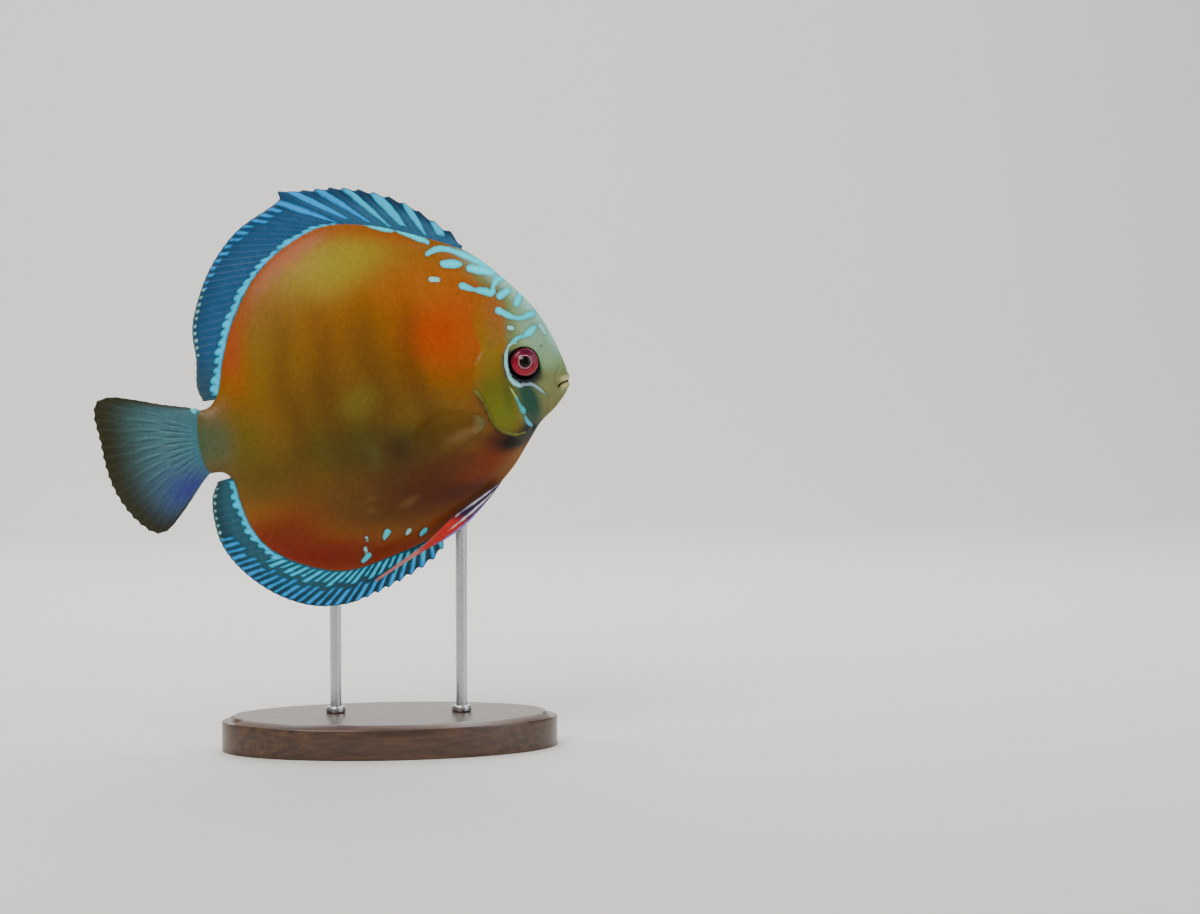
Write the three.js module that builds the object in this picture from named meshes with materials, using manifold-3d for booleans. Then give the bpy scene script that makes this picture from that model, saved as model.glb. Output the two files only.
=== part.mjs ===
// A life-size display model of a discus fish, head toward +X, on a stand with two rods.
//
// The fish is drawn level in its own frame: x runs from tail to mouth, z is up and y is across.
// The origin of that frame is the middle of the disc. The whole fish is then pitched nose up and
// lifted onto the rods. All sizes are millimetres.
import * as THREE from 'three';
import { mergeVertices } from 'three/addons/utils/BufferGeometryUtils.js';
import Module from 'manifold-3d';

const wasm = await Module();
wasm.setup();

// Driving dimensions of the pose and the stand.
const PITCH = THREE.MathUtils.degToRad(10);
const DISC_HEIGHT = 122;
const BASE_LENGTH = 118;
const BASE_WIDTH = 66;
const BASE_THICKNESS = 12;
const BASE_CHAMFER = 1.5;
const ROD_RADIUS = 2;
const FRONT_ROD = { x: 25, y: 0, top: 92 };
const REAR_ROD = { x: -19, y: 4.4, top: 84 };
const SOCKET_DEPTH = 8;
const SOCKET_CLEARANCE = 0.3;

// Gap between neighbouring pieces, and the half width of the fish's thin rim.
const GAP = 0.3;
const RIM_HALF = 1.0;

// Eye: centre in the side view, radius there, half depth, and how far it stands out of the cheek.
const EYE = { x: 47.6, z: 4.8, radius: 5.6, halfDepth: 3.4, proud: 1.5 };

// Side outline of the body, mouth to tail: the back first, then the belly.
const BACK = [
  [64, -4], [63, 3.2], [57, 21], [46, 36.3], [34.5, 47.6], [18.8, 55.9], [2, 62.3], [-13, 64.2],
  [-28, 59], [-39.8, 50.4], [-49.9, 36.4], [-55.4, 23], [-58.9, 12.6], [-62.5, 8.6], [-66.5, 8.2],
];
const BELLY = [
  [64, -4], [62.6, -7.6], [57.4, -12.9], [51, -17.4], [45.4, -23.7], [38.9, -31], [25.2, -41.4],
  [9.3, -49.6], [-8.9, -54.6], [-26, -56.7], [-40, -52], [-50, -45], [-55.5, -36], [-57.9, -25],
  [-58.8, -17.8], [-61.4, -14.6], [-66.5, -14],
];

// Half width of the body along its length, tail to mouth, and how sharp its section is.
const HALF_WIDTH = [
  [-68, 2.6], [-58, 4.2], [-45, 6.6], [-28, 9.4], [-10, 11.6], [8, 12.8], [22, 13.2], [33, 12.6],
  [42, 11], [50, 8.6], [57, 6.3], [61.5, 4.9], [64, 3.6],
];
const SECTION = { flankEdge: 0.8, headEdge: 0.58, headStart: 26, headEnd: 46 };

// The lens of the section follows the outline, but runs on past the notches of the tail stalk.
const LENS_BACK = [...BACK.slice(0, 11), [-58, 26], [-70, 16]];
const LENS_BELLY = [...BELLY.slice(0, 12), [-58, -38], [-70, -28]];
const RIM_TAPER = 7;

// Outer edges of the fins, front to back for the dorsal and anal, top to bottom for the tail.
const DORSAL_EDGE = [
  [34.6, 48.6], [32.6, 53], [26.7, 58.6], [18.2, 66.2], [9.1, 71.5], [-4.4, 76], [-17.4, 77.4],
  [-27.5, 73.8], [-41.9, 67.1], [-52.5, 57], [-59.3, 46.2], [-63.2, 36.1], [-63.8, 25.6],
  [-65.2, 16], [-64, 11],
];
const ANAL_EDGE = [
  [11, -49.7], [9.6, -54.3], [5, -58.2], [-7.3, -63.2], [-19.7, -66.6], [-29, -67.6], [-40, -65.8],
  [-51.6, -59.2], [-61.5, -48.9], [-66.6, -38.8], [-67.6, -30], [-66.8, -22.5], [-64, -17.2],
];
const TAIL_EDGE = [
  [-67.2, 9.4], [-78, 12.6], [-88, 16.2], [-95.4, 18.2], [-100, 17.2], [-101.6, 13], [-101.2, 4],
  [-100.9, -5], [-99.9, -12], [-97.6, -19], [-93.6, -26], [-88.4, -31], [-84.6, -31.2],
  [-78.4, -26.4], [-67.2, -14.6],
];
const DORSAL_ROOT = { start: [34.4, 47.7], end: [-59.4, 11.8] };
const ANAL_ROOT = { start: [10.4, -49.1], end: [-59.1, -16.9] };
const TAIL_ROOT = [[-67.3, 7.6], [-68.3, 2.4], [-68.7, -3], [-68.3, -8.4], [-67.3, -13.4]];
const FIN_ROOT_HALF = 0.9;
const FIN_EDGE_HALF = 0.3;
const TAIL_SWAY = 3.2;

// Paired fins, each between an upper and a lower edge that run from its root to its tip.
const PECTORAL = {
  upper: [[28.4, -9.4], [22, -7.6], [14, -7.8], [8.4, -10.6], [5.6, -14.4]],
  lower: [[27, -15.8], [21, -18.6], [14.4, -21.4], [9, -21.6], [5.8, -18.4]],
  splay: 5.4,
  half: 0.4,
};
const PELVIC = {
  upper: [[33.4, -35.2], [24, -39.4], [16.6, -42.6], [10.7, -46.2], [3, -51.2], [-7, -55.9], [-16.6, -60.2]],
  lower: [[30, -38.6], [24.6, -43], [17.6, -47.9], [10.7, -51], [3, -53.4], [-7, -57.2], [-16.9, -61.2]],
  rootOut: 2.7,
  splay: 5,
  half: 0.5,
};

// Side outlines where the body parts: behind the head, round the gill cover, lips and tail stalk.
const GILL_CLEFT = [
  [42, 80], [31, 44], [28.6, 22], [30.4, 8], [28.8, -2], [30.6, -5.4], [32, -10.4], [33.2, -14.4],
  [35.4, -17.8], [38.4, -19.6], [42, -20.6], [46.6, -22.6], [52, -34],
];
const GILL_COVER = [
  [24, -2], [25, 9], [33.6, 11], [38.4, 9.6], [40.8, 3.4], [41.8, -1.6], [43, -7.6],
  [44.2, -13.5], [44.8, -19.2], [44, -28], [28, -28],
];
const GILL_COVER_INNER = 5.4;
const UPPER_LIP = [[72, -4.1], [59, -5.2], [58, -3], [60, 1.2], [64, 2.4], [72, 3]];
const LOWER_JAW = [[72, -4.2], [59, -5.3], [53.6, -9.4], [51, -13], [51, -30], [72, -30]];
const STALK_CENTRE = [-68, -2.8];
const STALK_RADIUS = 15.5;
const STALK_SIDES = 28;
const FAR = 120;

/** A smooth curve through side-view points. */
function curveThrough(points) {
  const vectors = points.map(([x, z]) => new THREE.Vector3(x, 0, z));
  return new THREE.CatmullRomCurve3(vectors, false, 'centripetal');
}

/** Points spread evenly along a curve, as [x, z] pairs. */
function spread(curve, count) {
  return curve.getSpacedPoints(count).map((point) => [point.x, point.z]);
}

/** The value of a piecewise-linear table of [position, value] rows, rising in position. */
function tableValue(table, position) {
  const last = table.length - 1;
  if (position <= table[0][0]) return table[0][1];
  if (position >= table[last][0]) return table[last][1];
  const row = table.findIndex(([start]) => start > position);
  const [x0, y0] = table[row - 1];
  const [x1, y1] = table[row];
  return y0 + ((y1 - y0) * (position - x0)) / (x1 - x0);
}

const TABLE_STEPS = 240;
const byPosition = (a, b) => a[0] - b[0];
const backTable = spread(curveThrough(LENS_BACK), TABLE_STEPS).sort(byPosition);
const bellyTable = spread(curveThrough(LENS_BELLY), TABLE_STEPS).sort(byPosition);
const widthTable = spread(curveThrough(HALF_WIDTH), TABLE_STEPS).sort(byPosition);

const RIM_STEPS = 38;
const rim = [
  ...spread(curveThrough(BACK), RIM_STEPS),
  ...spread(curveThrough(TAIL_ROOT), 6).slice(1, -1),
  ...spread(curveThrough(BELLY), RIM_STEPS).reverse().slice(0, -1),
];

/** Distance in the side view from a point to the nearest stretch of the rim. */
function rimDistance(x, z) {
  let nearest = Infinity;
  for (let i = 0; i < rim.length; i += 1) {
    const [ax, az] = rim[i];
    const [bx, bz] = rim[(i + 1) % rim.length];
    const length2 = (bx - ax) ** 2 + (bz - az) ** 2;
    const along = ((x - ax) * (bx - ax) + (z - az) * (bz - az)) / length2;
    const t = THREE.MathUtils.clamp(along, 0, 1);
    nearest = Math.min(nearest, Math.hypot(x - ax - t * (bx - ax), z - az - t * (bz - az)));
  }
  return nearest;
}

/** A quarter round: rises steeply from 0 and levels out at 1. */
function quarterRound(share) {
  return Math.sqrt(1 - (1 - Math.min(1, share)) ** 2);
}

/** Half the body's width at a place in the side view: a lens section that softens on the head. */
function halfWidth(x, z) {
  const top = tableValue(backTable, x);
  const bottom = tableValue(bellyTable, x);
  const offset = Math.min(1, Math.abs((2 * z - top - bottom) / (top - bottom)));
  const onHead = THREE.MathUtils.smoothstep(x, SECTION.headStart, SECTION.headEnd);
  const edge = THREE.MathUtils.lerp(SECTION.flankEdge, SECTION.headEdge, onHead);
  const lens = tableValue(widthTable, x) * (1 - offset ** 2) ** edge;
  const inFromRim = rimDistance(x, z);
  return Math.hypot(lens * quarterRound(inFromRim / RIM_TAPER), RIM_HALF * quarterRound(inFromRim / RIM_HALF));
}

/** A closed mesh turned into a solid. */
function solid(geometry) {
  const bare = geometry.clone();
  bare.deleteAttribute('normal');
  bare.deleteAttribute('uv');
  const merged = mergeVertices(bare, 1e-5);
  return new wasm.Manifold(new wasm.Mesh({
    numProp: 3,
    vertProperties: Float32Array.from(merged.attributes.position.array),
    triVerts: Uint32Array.from(merged.index.array),
  }));
}

/** A solid turned back into a mesh geometry with flat faces. */
function geometryOf(manifold) {
  const mesh = manifold.getMesh();
  const geometry = new THREE.BufferGeometry();
  geometry.setAttribute('position', new THREE.BufferAttribute(mesh.vertProperties, 3));
  geometry.setIndex(new THREE.BufferAttribute(mesh.triVerts, 1));
  geometry.computeVertexNormals();
  return geometry;
}

/** Six times the volume inside a set of triangles, negative where they face inward. */
function facing(points, triangles) {
  const [a, b, c] = [new THREE.Vector3(), new THREE.Vector3(), new THREE.Vector3()];
  return triangles.reduce((sum, [i, j, k]) => {
    a.fromArray(points[i]);
    b.fromArray(points[j]);
    c.fromArray(points[k]);
    return sum + a.dot(b.cross(c));
  }, 0);
}

/** A geometry from rows of [x, y, z] points and triangles of point numbers, facing outward. */
function meshFrom(points, triangles) {
  if (facing(points, triangles) < 0) triangles.forEach((triangle) => triangle.reverse());
  const geometry = new THREE.BufferGeometry();
  geometry.setAttribute('position', new THREE.Float32BufferAttribute(points.flat(), 3));
  geometry.setIndex(triangles.flat());
  return geometry;
}

// Rings of the body, from the eye out to the rim, as the share of the way still to go.
const RING_LEFT = [0.86, 0.72, 0.58, 0.45, 0.33, 0.22, 0.13, 0.06, 0.02];

/** The whole body without fins, a little grown where another piece has to stay clear of it. */
function bodySolid(grow = 0) {
  const points = [];
  const triangles = [];
  const count = rim.length;
  const pole = [EYE.x, EYE.z];
  for (const side of [-1, 1]) {
    points.push([pole[0], side * (halfWidth(...pole) + grow), pole[1]]);
    for (const left of RING_LEFT) {
      for (const [rimX, rimZ] of rim) {
        const x = rimX + (pole[0] - rimX) * left;
        const z = rimZ + (pole[1] - rimZ) * left;
        points.push([x, side * (halfWidth(x, z) + grow), z]);
      }
    }
  }
  const half = points.length / 2;
  const rimStart = points.length;
  offsetOutline(rim, grow).forEach(([x, z]) => points.push([x, 0, z]));
  for (const side of [0, 1]) {
    const start = side * half;
    const ringAt = (ring, i) => {
      const step = i % count;
      return ring === RING_LEFT.length ? rimStart + step : start + 1 + ring * count + step;
    };
    const put = (a, b, c) => triangles.push(side ? [a, c, b] : [a, b, c]);
    for (let i = 0; i < count; i += 1) {
      put(start, ringAt(0, i + 1), ringAt(0, i));
      for (let ring = 0; ring < RING_LEFT.length; ring += 1) {
        put(ringAt(ring, i), ringAt(ring, i + 1), ringAt(ring + 1, i));
        put(ringAt(ring, i + 1), ringAt(ring + 1, i + 1), ringAt(ring + 1, i));
      }
    }
  }
  return solid(meshFrom(points, triangles));
}

/** A side-view outline moved outward by a distance, or inward when it is negative. */
function offsetOutline(points, distance) {
  const count = points.length;
  let area = 0;
  points.forEach(([x, z], i) => {
    const [nextX, nextZ] = points[(i + 1) % count];
    area += x * nextZ - nextX * z;
  });
  return points.map(([x, z], i) => {
    const before = points[(i + count - 1) % count];
    const after = points[(i + 1) % count];
    const run = [after[0] - before[0], after[1] - before[1]];
    const scale = (Math.sign(area) * distance) / Math.hypot(...run);
    return [x + run[1] * scale, z - run[0] * scale];
  });
}

/** A prism across the fish with a side-view outline, between two places across it. */
function prism(points, from, to) {
  const shape = new THREE.Shape(points.map(([x, z]) => new THREE.Vector2(x, z)));
  const geometry = new THREE.ExtrudeGeometry(shape, { depth: to - from, bevelEnabled: false });
  geometry.rotateX(Math.PI / 2);
  geometry.translate(0, to, 0);
  return solid(geometry);
}

/** Cuts an outline out of a body: the piece inside it and what is left, a thin gap apart. */
function part(body, outline, from = -FAR, to = FAR) {
  const inside = body.intersect(prism(offsetOutline(outline, -GAP / 2), from, to));
  const outside = body.subtract(prism(offsetOutline(outline, GAP / 2), from - GAP, to + GAP));
  return [inside, outside];
}

/** The biggest separate lump of a solid. */
function largest(manifold) {
  return manifold.decompose().reduce((best, lump) => (lump.volume() > best.volume() ? lump : best));
}

/** A closed fin plate between two edges, from columns of points that pair off one to one. */
function plate(firstEdge, secondEdge, rows, halfAt, centreAt) {
  const columns = firstEdge.length;
  const points = [];
  const triangles = [];
  for (const side of [-1, 1]) {
    for (let i = 0; i < columns; i += 1) {
      for (let j = 0; j <= rows; j += 1) {
        const across = j / rows;
        const x = THREE.MathUtils.lerp(firstEdge[i][0], secondEdge[i][0], across);
        const z = THREE.MathUtils.lerp(firstEdge[i][1], secondEdge[i][1], across);
        const along = i / (columns - 1);
        points.push([x, centreAt(x, z, along) + side * halfAt(across, along), z]);
      }
    }
  }
  const layer = columns * (rows + 1);
  const at = (side, i, j) => side * layer + i * (rows + 1) + j;
  const quad = (a, b, c, d) => triangles.push([a, b, c], [a, c, d]);
  for (let i = 0; i < columns - 1; i += 1) {
    for (let j = 0; j < rows; j += 1) {
      quad(at(0, i, j), at(0, i, j + 1), at(0, i + 1, j + 1), at(0, i + 1, j));
      quad(at(1, i, j), at(1, i + 1, j), at(1, i + 1, j + 1), at(1, i, j + 1));
    }
    quad(at(0, i, 0), at(0, i + 1, 0), at(1, i + 1, 0), at(1, i, 0));
    quad(at(0, i + 1, rows), at(0, i, rows), at(1, i, rows), at(1, i + 1, rows));
  }
  for (let j = 0; j < rows; j += 1) {
    quad(at(0, 0, j + 1), at(0, 0, j), at(1, 0, j), at(1, 0, j + 1));
    quad(at(0, columns - 1, j), at(0, columns - 1, j + 1), at(1, columns - 1, j + 1), at(1, columns - 1, j));
  }
  return meshFrom(points, triangles);
}

/** The stretch of the rim between two places, a gap outside the body, in even steps. */
function rimStretch(start, end, steps) {
  const clear = offsetOutline(rim, GAP);
  const nearest = ([x, z]) => {
    const distances = clear.map(([px, pz]) => Math.hypot(px - x, pz - z));
    return distances.indexOf(Math.min(...distances));
  };
  const [from, to] = [nearest(start), nearest(end)];
  const stretch = from < to ? clear.slice(from, to + 1) : clear.slice(to, from + 1).reverse();
  return spread(curveThrough(stretch), steps);
}

/** How far the rear of the fish sways sideways, growing toward the tip of the tail. */
function sway(x) {
  const behind = Math.max(0, -x - 68);
  return TAIL_SWAY * (behind / 34) ** 2;
}

const FIN_ROWS = 2;

/** A middle fin, thickest where it leaves the body. */
function middleFin(root, edge) {
  const steps = root.length - 1;
  const halfAt = (across) => THREE.MathUtils.lerp(FIN_ROOT_HALF, FIN_EDGE_HALF, Math.sqrt(across));
  return plate(root, spread(curveThrough(edge), steps), FIN_ROWS, halfAt, (x) => sway(x));
}

/** A paired fin on one side, from its upper and lower edge. */
function pairedFin(fin, side, steps, outAt) {
  const upper = spread(curveThrough(fin.upper), steps);
  const lower = spread(curveThrough(fin.lower), steps);
  return plate(upper, lower, 2, () => fin.half, (x, z, along) => side * outAt(x, z, along));
}

/** How far from the middle a pectoral fin lies: clear of the flank, and away from it at the tip. */
function pectoralOut(x, z, along) {
  return halfWidth(x, z) + GAP + PECTORAL.half + PECTORAL.splay * along ** 1.3;
}

/** How far from the middle a pelvic fin lies. */
function pelvicOut(x, z, along) {
  return PELVIC.rootOut + PELVIC.splay * along ** 0.8;
}

/** A flattened eyeball on one side, a little larger where the socket is cut. */
function eyeball(side, grow = 0) {
  const geometry = new THREE.SphereGeometry(1, 18, 10);
  geometry.rotateX(Math.PI / 2);
  geometry.scale(EYE.radius + grow, EYE.halfDepth + grow, EYE.radius + grow);
  const out = halfWidth(EYE.x, EYE.z) + EYE.proud - EYE.halfDepth;
  geometry.translate(EYE.x, side * out, EYE.z);
  return geometry;
}

/** A round rod of the stand, from the bottom of its socket up into the space of the fish. */
function rod({ x, y, top }, grow = 0) {
  const bottom = BASE_THICKNESS - SOCKET_DEPTH;
  const geometry = new THREE.CylinderGeometry(ROD_RADIUS + grow, ROD_RADIUS + grow, top - bottom, 20);
  geometry.rotateX(Math.PI / 2);
  geometry.translate(x, y, (top + bottom) / 2);
  return geometry;
}

/** The stand's oval base with a chamfered top edge, standing on z = 0. */
function baseGeometry() {
  const inner = 1 - (2 * BASE_CHAMFER) / BASE_WIDTH;
  const profile = [[0, 0], [1, 0], [1, BASE_THICKNESS - BASE_CHAMFER], [inner, BASE_THICKNESS], [0, BASE_THICKNESS]];
  const geometry = new THREE.LatheGeometry(profile.map(([r, h]) => new THREE.Vector2(r, h)), 44);
  geometry.rotateX(Math.PI / 2);
  geometry.scale(BASE_LENGTH / 2, BASE_WIDTH / 2, 1);
  return geometry;
}

const fish = new THREE.Group();
fish.rotation.y = -PITCH;
fish.position.z = DISC_HEIGHT;
const model = new THREE.Group();
model.add(fish);

/** Adds one named piece with its finish. */
function add(group, name, geometry, color, roughness = 0.45, metalness = 0) {
  const material = new THREE.MeshStandardMaterial({ color, roughness, metalness, flatShading: true });
  const mesh = new THREE.Mesh(geometry, material);
  mesh.name = name;
  group.add(mesh);
}

const SIDES = [['right', -1], ['left', 1]];
const ORANGE = 0xb06a20;
const OLIVE = 0x87803a;
const FIN_BLUE = 0x3e6282;

// The body, parted into trunk, tail stalk, head, gill covers, upper lip and lower jaw.
const trunkOutline = [...spread(curveThrough(GILL_CLEFT), 24), [52, -FAR], [-FAR, -FAR], [-FAR, 80]];
const [rear, front] = part(bodySolid(), trunkOutline);
const stalkOutline = Array.from({ length: STALK_SIDES }, (_, i) => {
  const angle = (2 * Math.PI * i) / STALK_SIDES;
  return [STALK_CENTRE[0] + STALK_RADIUS * Math.cos(angle), STALK_CENTRE[1] + STALK_RADIUS * Math.sin(angle)];
});
const [stalk, trunk] = part(rear, stalkOutline);
const [upperLip, withoutLip] = part(front, UPPER_LIP);
const [lowerJaw, withoutJaw] = part(withoutLip, LOWER_JAW);
let head = withoutJaw;
for (const [word, side] of SIDES) {
  const across = side < 0 ? [-FAR, -GILL_COVER_INNER] : [GILL_COVER_INNER, FAR];
  const [cover, left] = part(head, GILL_COVER, ...across);
  head = left.subtract(solid(eyeball(side, GAP)));
  add(fish, `gill_cover_${word}`, geometryOf(largest(cover)), OLIVE);
  add(fish, `eye_${word}`, eyeball(side), 0xa8203a, 0.1);
}
add(fish, 'head', geometryOf(largest(head)), OLIVE);
add(fish, 'upper_lip', geometryOf(largest(upperLip)), 0x77774a);
add(fish, 'lower_jaw', geometryOf(largest(lowerJaw)), 0x77774a);
add(fish, 'trunk', geometryOf(largest(trunk)), ORANGE);
add(fish, 'tail_stalk', geometryOf(largest(stalk)), OLIVE);

// The middle fins stand on the rim of the body.
const dorsalRoot = rimStretch(DORSAL_ROOT.start, DORSAL_ROOT.end, 38);
const analRoot = rimStretch(ANAL_ROOT.start, ANAL_ROOT.end, 30);
const tailRoot = spread(curveThrough(TAIL_ROOT), 24).map(([x, z]) => [x - GAP, z]);
const analFin = middleFin(analRoot, ANAL_EDGE);
add(fish, 'dorsal_fin', middleFin(dorsalRoot, DORSAL_EDGE), FIN_BLUE);
add(fish, 'anal_fin', analFin, FIN_BLUE);
add(fish, 'tail_fin', middleFin(tailRoot, TAIL_EDGE), 0x4a6a6a);

// The paired fins, one of each on either side.
for (const [word, side] of SIDES) {
  add(fish, `pectoral_fin_${word}`, pairedFin(PECTORAL, side, 10, pectoralOut), 0xc9c9b0);
  add(fish, `pelvic_fin_${word}`, pairedFin(PELVIC, side, 20, pelvicOut), 0x6a2f4a);
}

// The stand: rods fitted in sockets of the base and shaped at the top to the body they hold.
fish.updateMatrixWorld(true);
const bodySpace = bodySolid(GAP).transform(fish.matrixWorld.elements);
let base = solid(baseGeometry());
for (const [word, place] of [['front', FRONT_ROD], ['rear', REAR_ROD]]) {
  base = base.subtract(solid(rod({ ...place, top: FAR }, SOCKET_CLEARANCE)));
  const shaped = solid(rod(place)).subtract(bodySpace);
  const below = shaped.decompose().sort((a, b) => a.boundingBox().min[2] - b.boundingBox().min[2])[0];
  add(model, `stand_rod_${word}`, geometryOf(below), 0xb8bcc0, 0.25, 1);
}
add(model, 'stand_base', geometryOf(base), 0x3a2a1e, 0.4);

export default model;
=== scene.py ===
"""A life-size display model of a discus fish, held by two rods on an oval wooden base.

The fish is shaped level, in millimetres, in its own frame: x runs from tail to mouth, z is up and
y is across, with the origin in the middle of the disc. `Pose` then pitches it nose up, lifts it onto
its rods and turns it to metres. The right flank, at negative y, faces the camera.
"""

import logging
import math
from dataclasses import dataclass, field
from enum import Enum

import bmesh
import bpy
import numpy as np
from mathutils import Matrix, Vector


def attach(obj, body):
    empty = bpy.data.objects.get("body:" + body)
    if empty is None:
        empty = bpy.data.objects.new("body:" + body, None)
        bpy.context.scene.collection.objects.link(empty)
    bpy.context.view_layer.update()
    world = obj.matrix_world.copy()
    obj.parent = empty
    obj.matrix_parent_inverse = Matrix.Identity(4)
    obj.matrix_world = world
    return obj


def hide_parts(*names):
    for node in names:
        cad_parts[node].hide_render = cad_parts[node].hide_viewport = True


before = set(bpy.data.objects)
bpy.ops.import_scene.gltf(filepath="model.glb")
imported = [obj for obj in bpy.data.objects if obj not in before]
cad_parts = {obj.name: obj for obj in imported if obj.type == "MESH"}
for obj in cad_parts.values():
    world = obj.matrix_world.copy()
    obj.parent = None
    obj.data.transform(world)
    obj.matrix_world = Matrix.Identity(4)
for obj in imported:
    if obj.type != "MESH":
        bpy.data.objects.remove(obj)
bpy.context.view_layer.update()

LOG = logging.getLogger("discus")
MM = 0.001
SEED = 7
# Keeps a stretch of no length from dividing by zero.
TINY = 1e-12
# Farther from a painted mark than its edge wavers, in millimetres.
FAR = 9.0

Array = np.ndarray
Point = tuple[float, float]
Points = list[Point]


class Side(Enum):
    """The two flanks of the fish, as the sign of y."""

    RIGHT = -1
    LEFT = 1


# Shape of the fish


def smooth_curve(points: Points, steps: int) -> Array:
    """Spreads points evenly along a centripetal Catmull-Rom curve.

    Args:
        points: The places that the curve passes through.
        steps: How many even steps it is divided into.

    Returns:
        An array of steps + 1 rows of x and z.
    """
    given = np.asarray(points, float)
    knots = np.vstack([2 * given[0] - given[1], given, 2 * given[-1] - given[-2]])
    pieces = []
    for k in range(1, len(knots) - 2):
        p0, p1, p2, p3 = knots[k - 1:k + 3]
        t1 = math.sqrt(np.linalg.norm(p1 - p0))
        t2 = t1 + math.sqrt(np.linalg.norm(p2 - p1))
        t3 = t2 + math.sqrt(np.linalg.norm(p3 - p2))
        t = np.linspace(t1, t2, 40, endpoint=k == len(knots) - 3)[:, None]
        a1 = (t1 - t) / t1 * p0 + t / t1 * p1
        a2 = (t2 - t) / (t2 - t1) * p1 + (t - t1) / (t2 - t1) * p2
        a3 = (t3 - t) / (t3 - t2) * p2 + (t - t2) / (t3 - t2) * p3
        b1 = (t2 - t) / t2 * a1 + t / t2 * a2
        b2 = (t3 - t) / (t3 - t1) * a2 + (t - t1) / (t3 - t1) * a3
        pieces.append((t2 - t) / (t2 - t1) * b1 + (t - t1) / (t2 - t1) * b2)
    return even_steps(np.vstack(pieces), steps)


def even_steps(line: Array, steps: int, spacing: Array | None = None) -> Array:
    """Resamples a line of points evenly, or in proportion to a spacing given at each point.

    Args:
        line: Rows of x, z and any other values.
        steps: How many steps to divide it into.
        spacing: The wanted distance between points at each row, where it varies.

    Returns:
        An array of steps + 1 rows like the line's.
    """
    lengths = np.linalg.norm(np.diff(line, axis=0), axis=1)
    if spacing is not None:
        lengths = lengths / ((spacing[1:] + spacing[:-1]) / 2)
    run = np.concatenate([[0.0], np.cumsum(lengths)])
    wanted = np.linspace(0, run[-1], steps + 1)
    return np.column_stack([np.interp(wanted, run, column) for column in line.T])


def distance_to(line: Array, x: Array, z: Array) -> Array:
    """Distance in the side view from places to the edge of a line, negative inside it.

    Args:
        line: Rows of x and z, and of half the line's width where it has one.
        x: Places along the fish.
        z: Places up the fish.

    Returns:
        The distances, in the same shape as x.
    """
    half = line[:, 2] if line.shape[1] > 2 else np.zeros(len(line))
    nearest = np.full(np.shape(x), np.inf)
    for k in range(len(line) - 1):
        (ax, az), (dx, dz) = line[k, :2], line[k + 1, :2] - line[k, :2]
        along = np.clip(((x - ax) * dx + (z - az) * dz) / max(dx * dx + dz * dz, TINY), 0, 1)
        off = np.hypot(x - ax - along * dx, z - az - along * dz)
        nearest = np.minimum(nearest, off - half[k] - along * (half[k + 1] - half[k]))
    return nearest


def beside(points: Points, steps: int, x: Array, z: Array) -> Array:
    """Distance in the side view from places to a smooth curve of some steps."""
    return distance_to(smooth_curve(points, steps), x, z)


def rise(low: float | Array, high: float | Array, value: Array) -> Array:
    """A smooth rise from 0 at low to 1 at high."""
    t = np.clip((value - low) / (high - low), 0, 1)
    return t * t * (3 - 2 * t)


def bump(value: Array, width: float) -> Array:
    """A round bump, 1 at value 0 and near 0 a couple of widths away."""
    return np.exp(-((value / width) ** 2))


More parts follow.
